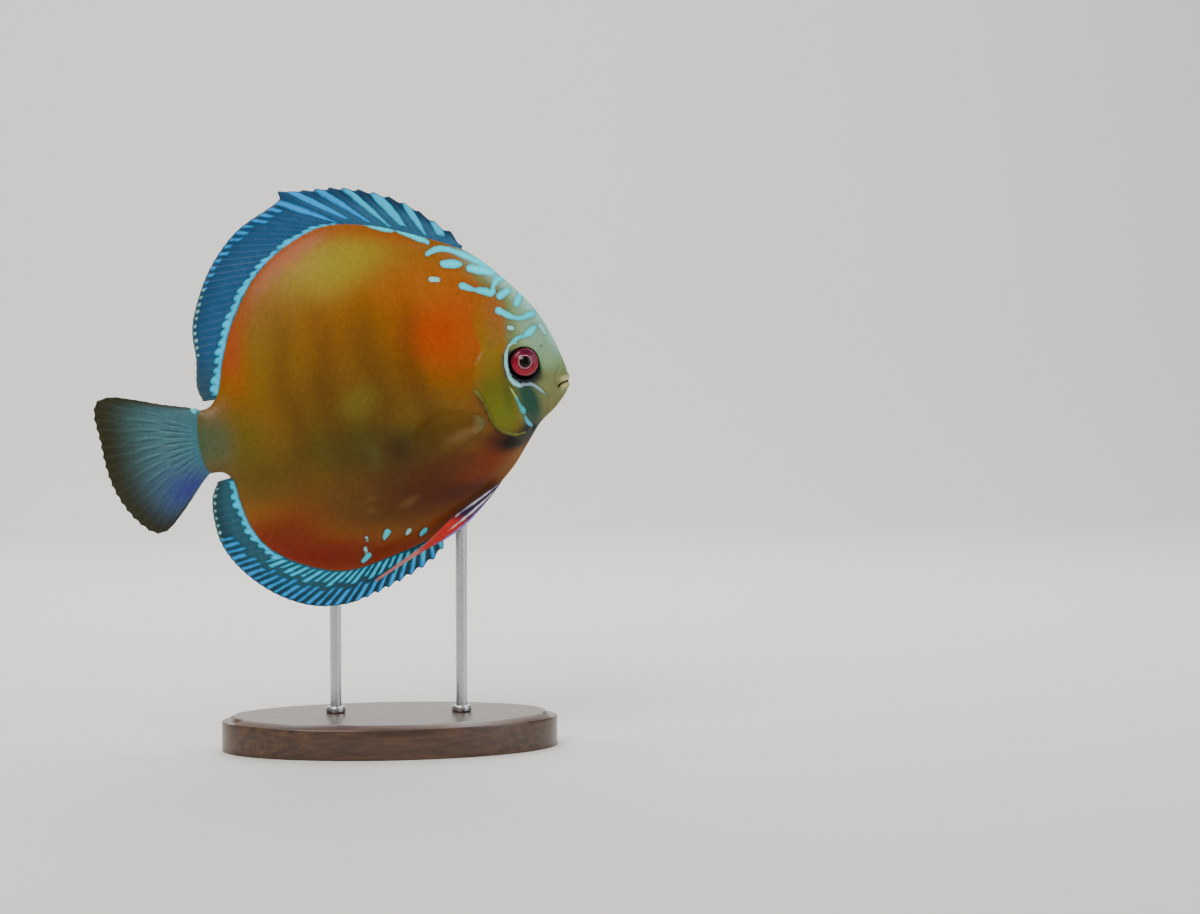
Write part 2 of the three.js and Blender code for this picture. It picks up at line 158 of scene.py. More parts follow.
@dataclass
class Form:
    """The body of the fish as half a width over every place in its side view.

    The lists are the same outlines as the solids', so that the skin lies just inside them.
    """

    back: Points = field(default_factory=lambda: [
        (64, -4), (63, 3.2), (57, 21), (46, 36.3), (34.5, 47.6), (18.8, 55.9), (2, 62.3), (-13, 64.2),
        (-28, 59), (-39.8, 50.4), (-49.9, 36.4), (-55.4, 23), (-58.9, 12.6), (-62.5, 8.6), (-66.5, 8.2)])
    belly: Points = field(default_factory=lambda: [
        (64, -4), (62.6, -7.6), (57.4, -12.9), (51, -17.4), (45.4, -23.7), (38.9, -31), (25.2, -41.4),
        (9.3, -49.6), (-8.9, -54.6), (-26, -56.7), (-40, -52), (-50, -45), (-55.5, -36), (-57.9, -25),
        (-58.8, -17.8), (-61.4, -14.6), (-66.5, -14)])
    tail_root: Points = field(default_factory=lambda: [
        (-67.3, 7.6), (-68.3, 2.4), (-68.7, -3), (-68.3, -8.4), (-67.3, -13.4)])
    half_widths: Points = field(default_factory=lambda: [
        (-68, 2.6), (-58, 4.2), (-45, 6.6), (-28, 9.4), (-10, 11.6), (8, 12.8), (22, 13.2), (33, 12.6),
        (42, 11), (50, 8.6), (57, 6.3), (61.5, 4.9), (64, 3.6)])
    lens_back_end: Points = field(default_factory=lambda: [(-58, 26), (-70, 16)])
    lens_belly_end: Points = field(default_factory=lambda: [(-58, -38), (-70, -28)])
    lens_back_points: int = 11
    lens_belly_points: int = 12
    edge_steps: int = 260
    tail_steps: int = 24
    table_steps: int = 240
    flank_edge: float = 0.8
    head_edge: float = 0.58
    head_start: float = 26
    head_end: float = 46
    rim_half: float = 1.0
    rim_taper: float = 7
    inset: float = 0.16

    def __post_init__(self) -> None:
        """Works out the rim and the tables that the section needs."""
        back, belly = (smooth_curve(edge, self.edge_steps) for edge in (self.back, self.belly))
        tail = smooth_curve(self.tail_root, self.tail_steps)
        self.rim = np.vstack([back, tail[1:-1], belly[::-1][:-1]])
        self.rim_loop = np.vstack([self.rim, self.rim[:1]])
        self.top = self.table(self.back[:self.lens_back_points] + self.lens_back_end)
        self.bottom = self.table(self.belly[:self.lens_belly_points] + self.lens_belly_end)
        self.width = self.table(self.half_widths)

    def table(self, points: Points) -> Array:
        """A smooth curve as rows that rise in x, for looking values up."""
        line = smooth_curve(points, self.table_steps)
        return line[np.argsort(line[:, 0])]

    def rim_distance(self, x: Array, z: Array) -> Array:
        """Distance from places in the side view to the rim."""
        return distance_to(self.rim_loop[::2], x, z)

    def contains(self, x: Array, z: Array) -> Array:
        """Whether places in the side view lie inside the rim.

        Args:
            x: Places along the fish.
            z: Places up the fish.

        Returns:
            True for each place inside.
        """
        inside = np.zeros(len(x), bool)
        for (ax, az), (bx, bz) in zip(self.rim, np.roll(self.rim, -1, axis=0)):
            if az != bz:
                inside ^= ((az > z) != (bz > z)) & (x < (bx - ax) * (z - az) / (bz - az) + ax)
        return inside

    def half(self, x: Array, z: Array) -> Array:
        """Half the body's width at places in the side view.

        Args:
            x: Places along the fish.
            z: Places up the fish.

        Returns:
            The half widths in millimetres.
        """
        top, bottom, width = (np.interp(x, *table.T) for table in (self.top, self.bottom, self.width))
        offset = np.minimum(1, np.abs((2 * z - top - bottom) / (top - bottom)))
        on_head = rise(self.head_start, self.head_end, x)
        edge = self.flank_edge + (self.head_edge - self.flank_edge) * on_head
        inside = self.rim_distance(x, z)
        round_in, round_rim = (np.sqrt(1 - (1 - np.minimum(1, inside / reach)) ** 2)
                               for reach in (self.rim_taper, self.rim_half))
        return np.hypot(width * (1 - offset ** 2) ** edge * round_in, self.rim_half * round_rim)


@dataclass
class Pose:
    """How the level fish is pitched nose up and lifted over the stand."""

    pitch: float = math.radians(10)
    disc_height: float = 122

    def to_row(self, level: Array) -> Array:
        """Turns level millimetres into metres in the row's frame.

        Args:
            level: Rows of x, y and z.

        Returns:
            Rows of x, y and z in metres.
        """
        c, s = math.cos(self.pitch), math.sin(self.pitch)
        x = level[:, 0] * c - level[:, 2] * s
        z = level[:, 0] * s + level[:, 2] * c + self.disc_height
        return np.column_stack([x, level[:, 1], z]) * MM


FORM = Form()
POSE = Pose()
EYE_X, EYE_Z = 47.6, 4.8
EYE_RADIUS = 5.45


def eye_distance(x: Array, z: Array) -> Array:
    """Distance in the side view from places to the middle of the eye."""
    return np.hypot(x - EYE_X, z - EYE_Z)


# Colours and marks


def linear(code: str) -> tuple[float, float, float]:
    """Turns an sRGB hex colour into linear red, green and blue."""
    values = [int(code[i:i + 2], 16) / 255 for i in (1, 3, 5)]
    return tuple(v / 12.92 if v <= 0.04045 else ((v + 0.055) / 1.055) ** 2.4 for v in values)


def rgba(code: str) -> tuple[float, float, float, float]:
    """An sRGB hex colour as linear RGBA."""
    return (*linear(code), 1.0)


class Paint:
    """Soft colours at a set of places, laid one over another as an airbrush does."""

    def __init__(self, ground: str, count: int) -> None:
        """Starts with one colour all over."""
        self.colour = np.tile(linear(ground), (count, 1))

    def lay(self, code: str, weight: Array) -> None:
        """Lays one colour over what is there, as strongly as its weight from 0 to 1."""
        share = np.clip(weight, 0, 1)[:, None]
        self.colour = self.colour * (1 - share) + np.array(linear(code)) * share


@dataclass(frozen=True)
class Patch:
    """A soft area of one colour on the flank."""

    colour: str
    x: float
    z: float
    long: float
    high: float
    strength: float = 1.0
    turn: float = 0.0
    flatness: float = 1.3

    def weight(self, x: Array, z: Array) -> Array:
        """How strongly the patch covers places in the side view.

        Args:
            x: Places along the fish.
            z: Places up the fish.

        Returns:
            Weights from 0 to its strength.
        """
        c, s = math.cos(math.radians(self.turn)), math.sin(math.radians(self.turn))
        along = ((x - self.x) * c + (z - self.z) * s) / self.long
        across = ((z - self.z) * c - (x - self.x) * s) / self.high
        return self.strength * np.exp(-(along ** 2 + across ** 2) ** self.flatness)


@dataclass(frozen=True)
class Stroke:
    """One painted line or spot: its colour, and the places and half widths of its course."""

    colour: str
    course: tuple[tuple[float, float, float], ...]

    def reach(self, x: Array, z: Array) -> Array:
        """Signed distance to the stroke's edge, negative inside it."""
        return np.minimum(FAR, beside(self.course, 3 * len(self.course) - 3, x, z))


GROUND = "#86520E"
PATCHES = [
    Patch("#604A10", -4, 0, 44, 30, 0.6),
    Patch("#92821E", -12, 50, 22, 11, 0.9, 10),
    Patch("#A1450B", -28, 57, 18, 6, 0.6, 30),
    Patch("#775A0E", -40, 22, 14, 26, 0.8),
    Patch("#A23E05", -52, 26, 5, 16, 0.5),
    Patch("#A64A04", 24, 22, 17, 17, 1.0),
    Patch("#A83A03", 18, 20, 9, 10, 0.7),
    Patch("#A1570B", 14, 38, 18, 8, 0.7),
    Patch("#60440E", -24, 2, 18, 14, 0.7),
    Patch("#5D4007", 4, 0, 10, 18, 0.35),
    Patch("#40400A", -16, -14, 30, 12, 0.85),
    Patch("#3E3708", -2, -18, 20, 12, 0.7),
    Patch("#57500F", -54, -8, 10, 16, 0.85),
    Patch("#48543A", -62, -3, 6, 11, 0.9),
    Patch("#38533A", -68, -3, 4.5, 14, 0.9),
    Patch("#666820", -11, 2, 8, 5, 0.45, 20),
    Patch("#6E5010", 8, -6, 13, 5, 0.6),
    Patch("#4C5222", -9.3, -19, 2.4, 6, 0.6),
    Patch("#422203", -8, -34, 26, 12, 0.85),
    Patch("#441802", 14, -33, 22, 12, 0.9),
    Patch("#702A02", 29, -27, 13, 5.5, 0.95, 32),
    Patch("#54400E", -46, -20, 15, 9, 0.8),
    Patch("#5A3C0A", -24, -30, 16, 8, 0.7, -14),
    Patch("#6E2404", -43, -40, 13, 10, 0.95),
    Patch("#701602", -30, -49, 19, 6.5, 0.95, -6),
    Patch("#6A1903", -12, -52, 12, 4.5, 0.6),
    Patch("#5A2804", 20.8, -25.7, 9, 5, 0.8),
    Patch("#3E1204", 20, -35.7, 11, 3.5, 0.7),
    Patch("#6A4C0C", 20, -16, 12, 5, 0.5),
    Patch("#341E03", -1.6, -17.5, 5, 5, 0.7),
    Patch("#62481C", -13.4, -32.4, 2.2, 0.9, 0.7),
    Patch("#62481C", -14, -36.4, 2, 0.9, 0.7),
    Patch("#6E4A22", -0.4, -35.8, 3.8, 1.3, 0.6, 20),
    Patch("#401202", 33, -19.5, 6, 3.2, 0.8),
    # Near-black just under the gill cover's lower edge: painted shade.
    Patch("#100201", 40.5, -21.6, 8, 3.2, 1.2, 8),
]
BARS = [(-35, 4.2), (-21.5, 4.6), (-5, 5.2), (9, 4.2)]
HEAD_PATCHES = [
    Patch("#8B5E0D", 34, 14, 9, 13, 0.85),
    Patch("#78610F", 37, 8, 6, 9, 0.8),
    Patch("#595A0B", 35, -5, 8, 9, 1.0),
    Patch("#5F650B", 37, -12, 7.5, 9, 1.0, -20),
    Patch("#474E08", 40, -3, 2.4, 8, 0.6),
]
CYAN = "#00CFE0"
ICE = "#8CD2D4"
STROKES = [
    Stroke(CYAN, ((21.2, 47.9, 0.8), (25.4, 49.2, 1.1), (29, 48.4, 0.95), (34.3, 45.4, 1.2),
                  (41.5, 40.6, 0.9))),
    Stroke(CYAN, ((26.2, 43.6, 1.3), (29.2, 43.2, 1.5), (32, 42.6, 1.1))),
    Stroke(ICE, ((20.6, 39.1, 0.9), (23.2, 38.6, 0.8))),
    Stroke(CYAN, ((35.2, 40.4, 1.3), (39, 39.2, 1.6), (43.4, 37.9, 1.2))),
    Stroke(CYAN, ((31.2, 34.9, 1.3), (34.6, 33, 0.8), (38.4, 31.9, 1.3), (41, 30.8, 1.2), (42, 33, 0.8),
                  (44.2, 35, 1.3), (46.4, 35.2, 0.9))),
    Stroke(CYAN, ((43.6, 29.2, 1.2), (47, 30.6, 1.3))),
    Stroke(CYAN, ((49.1, 25.6, 1.2), (51.7, 28.3, 1.2))),
    Stroke(CYAN, ((42, 24.3, 1.2), (45.5, 21.9, 1.0), (48.6, 20.4, 0.7), (51.6, 20.6, 1.0),
                  (55, 21.2, 0.9))),
    Stroke(ICE, ((44.5, 17.9, 0.8), (45.6, 17.5, 0.7))),
    Stroke(CYAN, ((44.6, 12.7, 0.6), (47.6, 13.9, 0.7), (49.4, 13.9, 0.6), (51.4, 14.9, 1.3),
                  (53.8, 16.2, 1.0))),
    Stroke(ICE, ((56.4, 16.8, 0.7), (57.6, 13.6, 0.6))),
    Stroke(CYAN, ((2, 62.6, 1.0), (5.6, 60.4, 1.2), (10.9, 58.2, 0.7))),
    Stroke(CYAN, ((13.4, 57.6, 0.9), (18.4, 54.8, 1.2), (22.6, 52, 0.8))),
    Stroke(ICE, ((-17.2, -45.6, 0.6), (-17, -46.6, 0.6))),
    Stroke(ICE, ((-18, -49.2, 0.6), (-17.8, -50.2, 0.6))),
    Stroke(CYAN, ((-19.2, -53.6, 0.7), (-17, -52, 0.9))),
    Stroke(CYAN, ((-11, -47.2, 0.7), (-9.4, -45, 1.0))),
    Stroke(ICE, ((-2.8, -47, 0.7), (-1.8, -46, 0.8))),
    Stroke(CYAN, ((2.2, -48.2, 0.7), (4, -46.8, 0.8))),
    Stroke(ICE, ((46, 12.2, 0.25), (43.6, 12, 0.4), (41.9, 9.6, 0.55), (41, 5.4, 0.6), (41.4, 1, 0.65),
                 (43, -1.7, 0.8), (44.6, -2.7, 0.75))),
    Stroke("#8FB2B8", ((44.6, -2.7, 0.75), (46.8, -2.8, 0.45), (49.6, -3.2, 0.5), (52.4, -6, 0.3),
                       (54.6, -8.4, 0.1))),
    # A near-black stroke along the lower rear rim of the eye: painted shade in the socket.
    Stroke("#040507", ((42.1, 6.6, 0.1), (42, 3, 0.4), (43.4, 0.5, 0.65), (45.6, -0.9, 0.75),
                       (48.2, -1.1, 0.7), (50.6, -0.4, 0.2))),
    Stroke("#9FC66A", ((41, -2.6, 0.1), (42, -5, 0.3), (42.7, -6.6, 0.35))),
    Stroke("#2FA8AE", ((42.7, -6.6, 0.35), (43.6, -9.2, 0.55), (44.6, -11.6, 0.95), (45, -12.6, 0.3))),
    Stroke("#3FA6C0", ((45, -13.4, 0.2), (45.5, -15.4, 0.8), (46.6, -17, 0.75), (47.4, -17.6, 0.3))),
    Stroke("#686E2C", ((28.4, -1.6, 0.8), (29.6, -3.4, 0.4), (31.2, -7.4, 0.3), (32.6, -12.6, 0.3),
                       (34.6, -16.2, 0.35), (37.4, -18.2, 0.4), (41, -19.6, 0.4), (44.2, -19.4, 0.3))),
]

GILL_EDGE = [(33, 12), (30.2, 7.5), (28.6, 2.6), (28.4, -1.8), (30.4, -5), (31.9, -10.2), (33.2, -14.4),
             (35.7, -17.7), (38.9, -19.3), (41.8, -20.5), (44.6, -19.4), (46, -17.8)]
HEAD_BORDER = smooth_curve([(44, 50), (36, 34), (32, 22), *GILL_EDGE[:9], (42, -22), (50, -40)], 120)
HEAD_BORDER = HEAD_BORDER[np.argsort(HEAD_BORDER[:, 1])]
PREOPERCLE = [(40.4, 8), (40.8, 2), (41.3, -2.6), (43.2, -7.6), (44.9, -11.5), (45.6, -15.2), (47.5, -18)]
MOUTH = [(66, -4.2), (62, -4.5), (60, -4.9), (59, -5.6)]
LIP_FOLD = [(58.8, -6.1), (58.9, -7.6), (59.8, -9.2)]
UPPER_FOLD = [(57.8, -5.6), (58.2, -2.2), (60.4, 1.2)]
CHEEK_FOLD = [(41.3, 1.4), (43.3, -2), (46.6, -3.2), (50, -3.9), (53.8, -8.2), (53.4, -13)]
PORES = [(53.2, 2.4), (55.3, -1.6), (49, -11.4), (51.5, 12)]


def on_head(x: Array, z: Array) -> Array:
    """How far a place belongs to the head, from 0 behind the gill cover to 1 in front of its edge."""
    border = np.interp(z, HEAD_BORDER[:, 1], HEAD_BORDER[:, 0])
    return rise(-0.5, 0.5, x - border)


def body_colour(x: Array, z: Array) -> Array:
    """Paints the body's soft colours at places in the side view.

    Args:
        x: Places along the fish.
        z: Places up the fish.

    Returns:
        Rows of linear red, green and blue.
    """
    paint = Paint(GROUND, len(x))
    for patch in PATCHES:
        paint.lay(patch.colour, patch.weight(x, z))
    height = rise(-40, -10, z) * rise(48, 20, z)
    for place, width in BARS:
        wander = place + 1.6 * np.sin(z * 0.16 + place)
        paint.lay("#4E2D04", 0.36 * bump(x - wander, width) * height)
    rim = FORM.rim_distance(x, z)
    paint.lay("#993405", 0.5 * bump(rim - 2.5, 3.6) * rise(24, 10, x) * rise(12, 26, z))
    paint.lay("#751D04", 0.7 * bump(rim - 2, 4) * rise(-28, -40, z) * rise(30, 0, x))
    paint_face(paint, x, z, rim)
    return paint.colour


def paint_face(paint: Paint, x: Array, z: Array, rim: Array) -> None:
    """Paints the nape, face and gill cover, with painted shade round the eye socket, under the gill cover
    and in the mouth slit.

    Args:
        paint: The colours so far.
        x: Places along the fish.
        z: Places up the fish.
        rim: Their distance to the rim.
    """
    head = on_head(x, z)
    gill = beside(GILL_EDGE, 60, x, z)
    # Painted shadow: dark brown on the body just behind the lower part of the gill cover's edge.
    paint.lay("#200D04", 0.85 * (1 - head) * np.exp(-gill / 1.5) * rise(-1, -7, z) * (z > -24))
    for patch in HEAD_PATCHES:
        paint.lay(patch.colour, patch.weight(x, z) * head)
    front = rise(40.5, 43.5, x - 0.16 * np.maximum(0, z - 10) + 0.10 * np.minimum(0, z + 2))
    nape = rise(10, 5, rim) * rise(28, 40, x) * rise(14, 24, z)
    paint.lay("#637242", np.maximum(front * rise(-20, -14, z), nape) * 0.9)
    paint.lay("#7A9A6E", front * rise(-4, 6, z) * rise(44, 50, x))
    paint.lay("#799E87", front * rise(2, 14, z) * rise(46, 53, x) * 0.7)
    # Pale teal toward the profile of nape and forehead: the head's own paler tone, with a painted rim
    # highlight along the edge.
    paint.lay("#7CAFA4", nape * rise(6, 1.5, rim) * 0.7)
    paint.lay("#8FC2B4", rise(4, 0.6, rim) * rise(30, 44, x) * rise(3, 12, z) * 0.9)
    paint.lay("#757948", rise(3, -5, z) * rise(49, 54, x) * 0.9)
    paint.lay("#70683A", rise(-6, -13, z) * rise(48, 52, x) * 0.85)
    teal = Patch("#1B4433", 47.6, -9, 3.6, 9.5, 1.3, 14)
    paint.lay(teal.colour, teal.weight(x, z) * rise(41.8, 43.4, x + 0.26 * (z + 6)))
    # Near-black at the lower front end of the gill cover: the dark gill membranes there, with the shade over
    # them painted in.
    paint.lay("#0C1612", 1.3 * bump(np.hypot((x - 46.6) / 1.3, z + 18.6), 2.9))
    # Painted shade round the eye socket: near-black, widest toward its lower rear side, and a dark wedge
    # below the eye's front.
    from_eye = eye_distance(x, z)
    low = rise(5.5, -1.5, 0.75 * (x - EYE_X) + z - EYE_Z)
    paint.lay("#060809", bump(np.maximum(0, from_eye - EYE_RADIUS), 0.35 + 1.75 * low) * (0.6 + 0.9 * low))
    socket_shade_wedge = np.hypot((x - EYE_X - 3.4) / 1.7, z - EYE_Z + 6.1)
    paint.lay("#161C1A", 0.8 * bump(socket_shade_wedge, 1.4))
    lips = beside(MOUTH[:3], 8, x, z)
    paint.lay("#C2B67E", rise(2.8, 1.0, lips) * rise(59, 61.5, x) * 0.9)
    # A dark line along the mouth slit: painted shade in the gap between the lips.
    paint.lay("#251E0D", bump(beside(MOUTH, 12, x, z), 0.32) * rise(57.5, 59, x))


def nearest_mark(marks: list[tuple[Array, str]]) -> tuple[Array, Array]:
    """Joins marks into one signed distance and the colour of whichever is nearest.

    Args:
        marks: Each mark's signed distances and its colour.

    Returns:
        The shortest distances and the linear colours that go with them.
    """
    reaches = np.array([reach for reach, _ in marks])
    colours = np.array([linear(code) for _, code in marks])
    return reaches.min(axis=0), colours[reaches.argmin(axis=0)]


# Meshes and nodes


def deselect() -> None:
    """Clears the selection, which holds the solids after loading."""
    if bpy.context.mode != "OBJECT":
        bpy.ops.object.mode_set(mode="OBJECT")
    bpy.ops.object.select_all(action="DESELECT")


def show(name: str, data: bpy.types.ID) -> bpy.types.Object:
    """Puts a mesh, a light or a camera into the scene, at the origin.

    Args:
        name: The object's name.
        data: What it holds.

    Returns:
        The new object.
    """
    thing = bpy.data.objects.new(name, data)
    bpy.context.scene.collection.objects.link(thing)
    return thing


def new_piece(name: str, points: Array, faces: list[list[int]],
              material: bpy.types.Material) -> bpy.types.Object:
    """Makes a smooth mesh object from level points, with its faces turned outward.

    Args:
        name: The piece's name.
        points: Rows of level x, y and z in millimetres.
        faces: Lists of point numbers.
        material: Its finish.

    Returns:
        The new object, at the origin.
    """
    mesh = bpy.data.meshes.new(name)
    mesh.from_pydata(POSE.to_row(points).tolist(), [], faces)
    work = bmesh.new()
    work.from_mesh(mesh)
    bmesh.ops.recalc_face_normals(work, faces=work.faces)
    work.to_mesh(mesh)
    work.free()
    mesh.materials.append(material)
    mesh.shade_smooth()
    return show(name, mesh)


def put_values(piece: bpy.types.Object, **layers: Array) -> None:
    """Stores numbers or colours for each point of a piece, under their names.

    Args:
        piece: The piece.
        layers: A number or a linear colour for each of its points.
    """
    for name, values in layers.items():
        if values.ndim == 1:
            layer = piece.data.attributes.new(name, "FLOAT", "POINT")
            layer.data.foreach_set("value", values.astype(np.float32))
        else:
            layer = piece.data.attributes.new(name, "FLOAT_COLOR", "POINT")
            padded = np.column_stack([values, np.ones(len(values))]).astype(np.float32)
            layer.data.foreach_set("color", padded.ravel())


def put_map(piece: bpy.types.Object, name: str, places: Array) -> None:
    """Gives a piece a UV map from one place for each of its points.

    Args:
        piece: The piece.
        name: The map's name.
        places: Rows of u and v, one for each point.
    """
    layer = piece.data.uv_layers.new(name=name)
    corners = np.empty(len(piece.data.loops), np.int32)
    piece.data.loops.foreach_get("vertex_index", corners)
    layer.data.foreach_set("uv", places[corners].astype(np.float32).ravel())


def settle(piece: bpy.types.Object, slot: str, *nodes: str) -> None:
    """Fixes a finished piece to the model, hides the solids that it stands for and logs its face count.

    Args:
        piece: The piece.
        slot: The record's material slot for its finish; not used.
        nodes: The solids that it stands for, if any.
    """
    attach(piece, "root")
    if nodes:
        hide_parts(*nodes)
    LOG.info("%s: %d faces", piece.name, len(piece.data.polygons))


class Nodes:
    """A material's node tree."""

    def __init__(self, name: str) -> None:
        """Starts a material that holds one Principled shader.

        Args:
            name: The real material's name.
        """
        self.material = bpy.data.materials.new(name)
        self.material.use_nodes = True
        self.tree = self.material.node_tree
        self.shader = self.tree.nodes["Principled BSDF"]

    def add(self, kind: str, *inputs: object, out: int | str = 0,
            **settings: object) -> bpy.types.NodeSocket:
        """Adds a node with its settings and links.

        Args:
            kind: The node's type name, without its ShaderNode start.
            inputs: Values or sockets for its inputs in order, None to leave one as it is.
            out: Which of its outputs is wanted.
            settings: Its own properties.

        Returns:
            The wanted output.
        """
        node = self.tree.nodes.new("ShaderNode" + kind)
        for key, value in settings.items():
            setattr(node, key, value)
        for socket, value in zip(node.inputs, inputs):
            self.join(socket, value)
        return node.outputs[out]

    def join(self, socket: bpy.types.NodeSocket, value: object) -> None:
        """Links a socket to another one, or gives it a value."""
        if isinstance(value, bpy.types.NodeSocket):
            self.tree.links.new(value, socket)
        elif value is not None:
            socket.default_value = value

    def dress(self, **inputs: object) -> bpy.types.Material:
        """Joins the shader's inputs, named with _ for a space, and returns the material."""
        for key, value in inputs.items():
            self.join(self.shader.inputs[key.replace("_", " ")], value)
        return self.material


# Finishes


@dataclass(frozen=True)
class FleshFinish:
    """Fish skin under clear lacquer: airbrushed colours with crisp, slightly pearly marks.

    The soft colours, the distance to the nearest mark and its colour are stored on each piece. Noise
    gives the colours a fine mottle and the marks an uneven hand-painted edge. The lacquer gives the eye
    a wet look with soft highlights. A real skin's grain is finer than grain_mm, which is as fine as
    the render can show.
    """

    name: str
    mottle_mm: float = 1.4
    mottle: float = 0.07
    waver_mm: float = 2.6
    waver: float = 0.22
    edge_mm: float = 0.15
    grain_mm: float = 0.35
    roughness: float = 0.42
    rays: float = 0.0
    clear: bool = False

    def make(self) -> bpy.types.Material:
        """Builds the material.

        Returns:
            The material.
        """
        n = Nodes(self.name)
        place = n.add("TexCoord", out="Object")
        mottle = n.add("TexNoise", place, None, 1 / (self.mottle_mm * MM), 4.0)
        light = n.add("MapRange", mottle, 0.3, 0.7, 1 - self.mottle, 1 + self.mottle)
        colour = n.add("Attribute", attribute_name="tint")
        colour = n.add("MixRGB", 1.0, colour, light, blend_type="MULTIPLY")
        bumps = n.add("TexNoise", place, None, 1 / (self.grain_mm * MM), 2.0)
        if self.rays:
            ray = n.add("Attribute", attribute_name="ray", out="Fac")
            to_ray = n.add("Math", ray, 0.5, operation="PINGPONG")
            line = n.add("MapRange", to_ray, 0.16, 0.02, 0.0, self.rays)
            colour = n.add("MixRGB", line, colour, rgba("#A9C2C4"))
            bumps = n.add("MapRange", to_ray, 0.2, 0.0, 0.0, 1.0)
        uneven = n.add("TexNoise", place, None, 1 / (self.waver_mm * MM), 1.0)
        shift = n.add("MapRange", uneven, 0.25, 0.75, -self.waver, self.waver)
        reach = n.add("Math", n.add("Attribute", attribute_name="mark", out="Fac"), shift, operation="ADD")
        shade = n.add("MapRange", reach, 1.0, 0.1, 1.0, 0.76)
        colour = n.add("MixRGB", 1.0, colour, shade, blend_type="MULTIPLY")
        mark = n.add("Attribute", attribute_name="mark_tint")
        core = n.add("MapRange", reach, -0.2, -1.0, 0.85, 1.25)
        mark = n.add("VectorMath", mark, None, None, core, operation="SCALE")
        colour = n.add("MixRGB", n.add("MapRange", reach, self.edge_mm, -self.edge_mm), colour, mark)
        relief = n.add("Bump", 0.5, 0.05 * MM, None, bumps)
        alpha = n.add("Attribute", attribute_name="solid", out="Fac") if self.clear else 1.0
        return n.dress(Base_Color=colour, Roughness=self.roughness, IOR=1.45, Normal=relief, Alpha=alpha,
                       Specular_IOR_Level=0.18, Coat_Weight=0.08, Coat_Roughness=0.16,
                       Subsurface_Weight=0.05, Subsurface_Scale=MM)


@dataclass(frozen=True)
class EyeFinish:
    """Polished glass eye: black pupil, thin pink ring and streaked crimson iris, bright and deep, with
    painted shade over its upper front.
    """

    pupil: float = 2.1
    ring: float = 2.42
    iris: float = 4.8
    edge_mm: float = 0.6
    streak_mm: float = 0.9

    def make(self) -> bpy.types.Material:
        """Builds the material from the distance to the eye's axis stored on the globe.

        Returns:
            The material.
        """
        n = Nodes("Polished glass eye")
        place = n.add("TexCoord", out="Object")
        out = n.add("Attribute", attribute_name="from_axis", out="Fac")
        up = n.add("Attribute", attribute_name="height", out="Fac")
        uneven = n.add("TexNoise", place, None, 1 / (self.edge_mm * MM), 3.0)
        reach = n.add("Math", out, n.add("MapRange", uneven, 0.25, 0.75, -0.14, 0.14), operation="ADD")
        streaks = n.add("TexNoise", place, None, 1 / (self.streak_mm * MM), 4.0)
        colour = n.add("MixRGB", n.add("MapRange", streaks, 0.3, 0.7), rgba("#700A20"), rgba("#A0142E"))
        # The first layer darkens the iris toward its upper front: painted shade.
        layers = [
            (up, -0.1, 0.9, 0.85, "#2A0A30"),
            (reach, self.ring + 0.9, self.ring, 0.6, "#2E0410"),
            (reach, self.iris - 0.7, self.iris - 0.1, 0.4, "#C04A60"),
            (reach, self.iris - 0.08, self.iris + 0.12, 1.0, "#08070C"),
            (reach, self.ring + 0.06, self.ring - 0.08, 1.0, "#C97A8C"),
            (out, self.pupil + 0.08, self.pupil - 0.06, 1.0, "#020102"),
        ]
        for value, start, end, most, code in layers:
            colour = n.add("MixRGB", n.add("MapRange", value, start, end, 0.0, most), colour, rgba(code))
        return n.dress(Base_Color=colour, Roughness=0.25, IOR=1.36, Specular_IOR_Level=0.2, Coat_Weight=0.45,
                       Coat_Roughness=0.02, Coat_IOR=1.4)


@dataclass(frozen=True)
class WalnutFinish:
    """Walnut under satin varnish: dark brown with long grain and short dark pores."""

    grain_mm: float = 1.6
    pore_mm: float = 0.35
    broad_mm: float = 9

    def make(self) -> bpy.types.Material:
        """Builds the material from noise stretched along the base.

        Returns:
            The material.
        """
        n = Nodes("Varnished walnut")
        place = n.add("TexCoord", out="Object")
        lengthwise = n.add("Mapping", place, None, None, (0.07, 1.0, 1.0))
        grain = n.add("TexNoise", lengthwise, None, 1 / (self.grain_mm * MM), 6.0)
        broad = n.add("TexNoise", lengthwise, None, 1 / (self.broad_mm * MM), 3.0)
        short = n.add("Mapping", place, None, None, (0.12, 1.0, 1.0))
        pores = n.add("MapRange", n.add("TexNoise", short, None, 1 / (self.pore_mm * MM), 2.0), 0.6, 0.7)
        colour = n.add("MixRGB", n.add("MapRange", grain, 0.35, 0.68), rgba("#2E1B10"), rgba("#5A3A22"))
        colour = n.add("MixRGB", n.add("MapRange", broad, 0.4, 0.7, 0.0, 0.5), colour, rgba("#3B2416"))
        colour = n.add("MixRGB", n.add("Math", pores, 0.6, operation="MULTIPLY"), colour, rgba("#1A0F08"))
        relief = n.add("Bump", 0.4, 0.03 * MM, None, n.add("Math", grain, pores, operation="SUBTRACT"))
        rough = n.add("MapRange", grain, 0.3, 0.7, 0.3, 0.42)
        return n.dress(Base_Color=colour, Roughness=rough, IOR=1.5, Normal=relief, Coat_Weight=0.3,
                       Coat_Roughness=0.18)


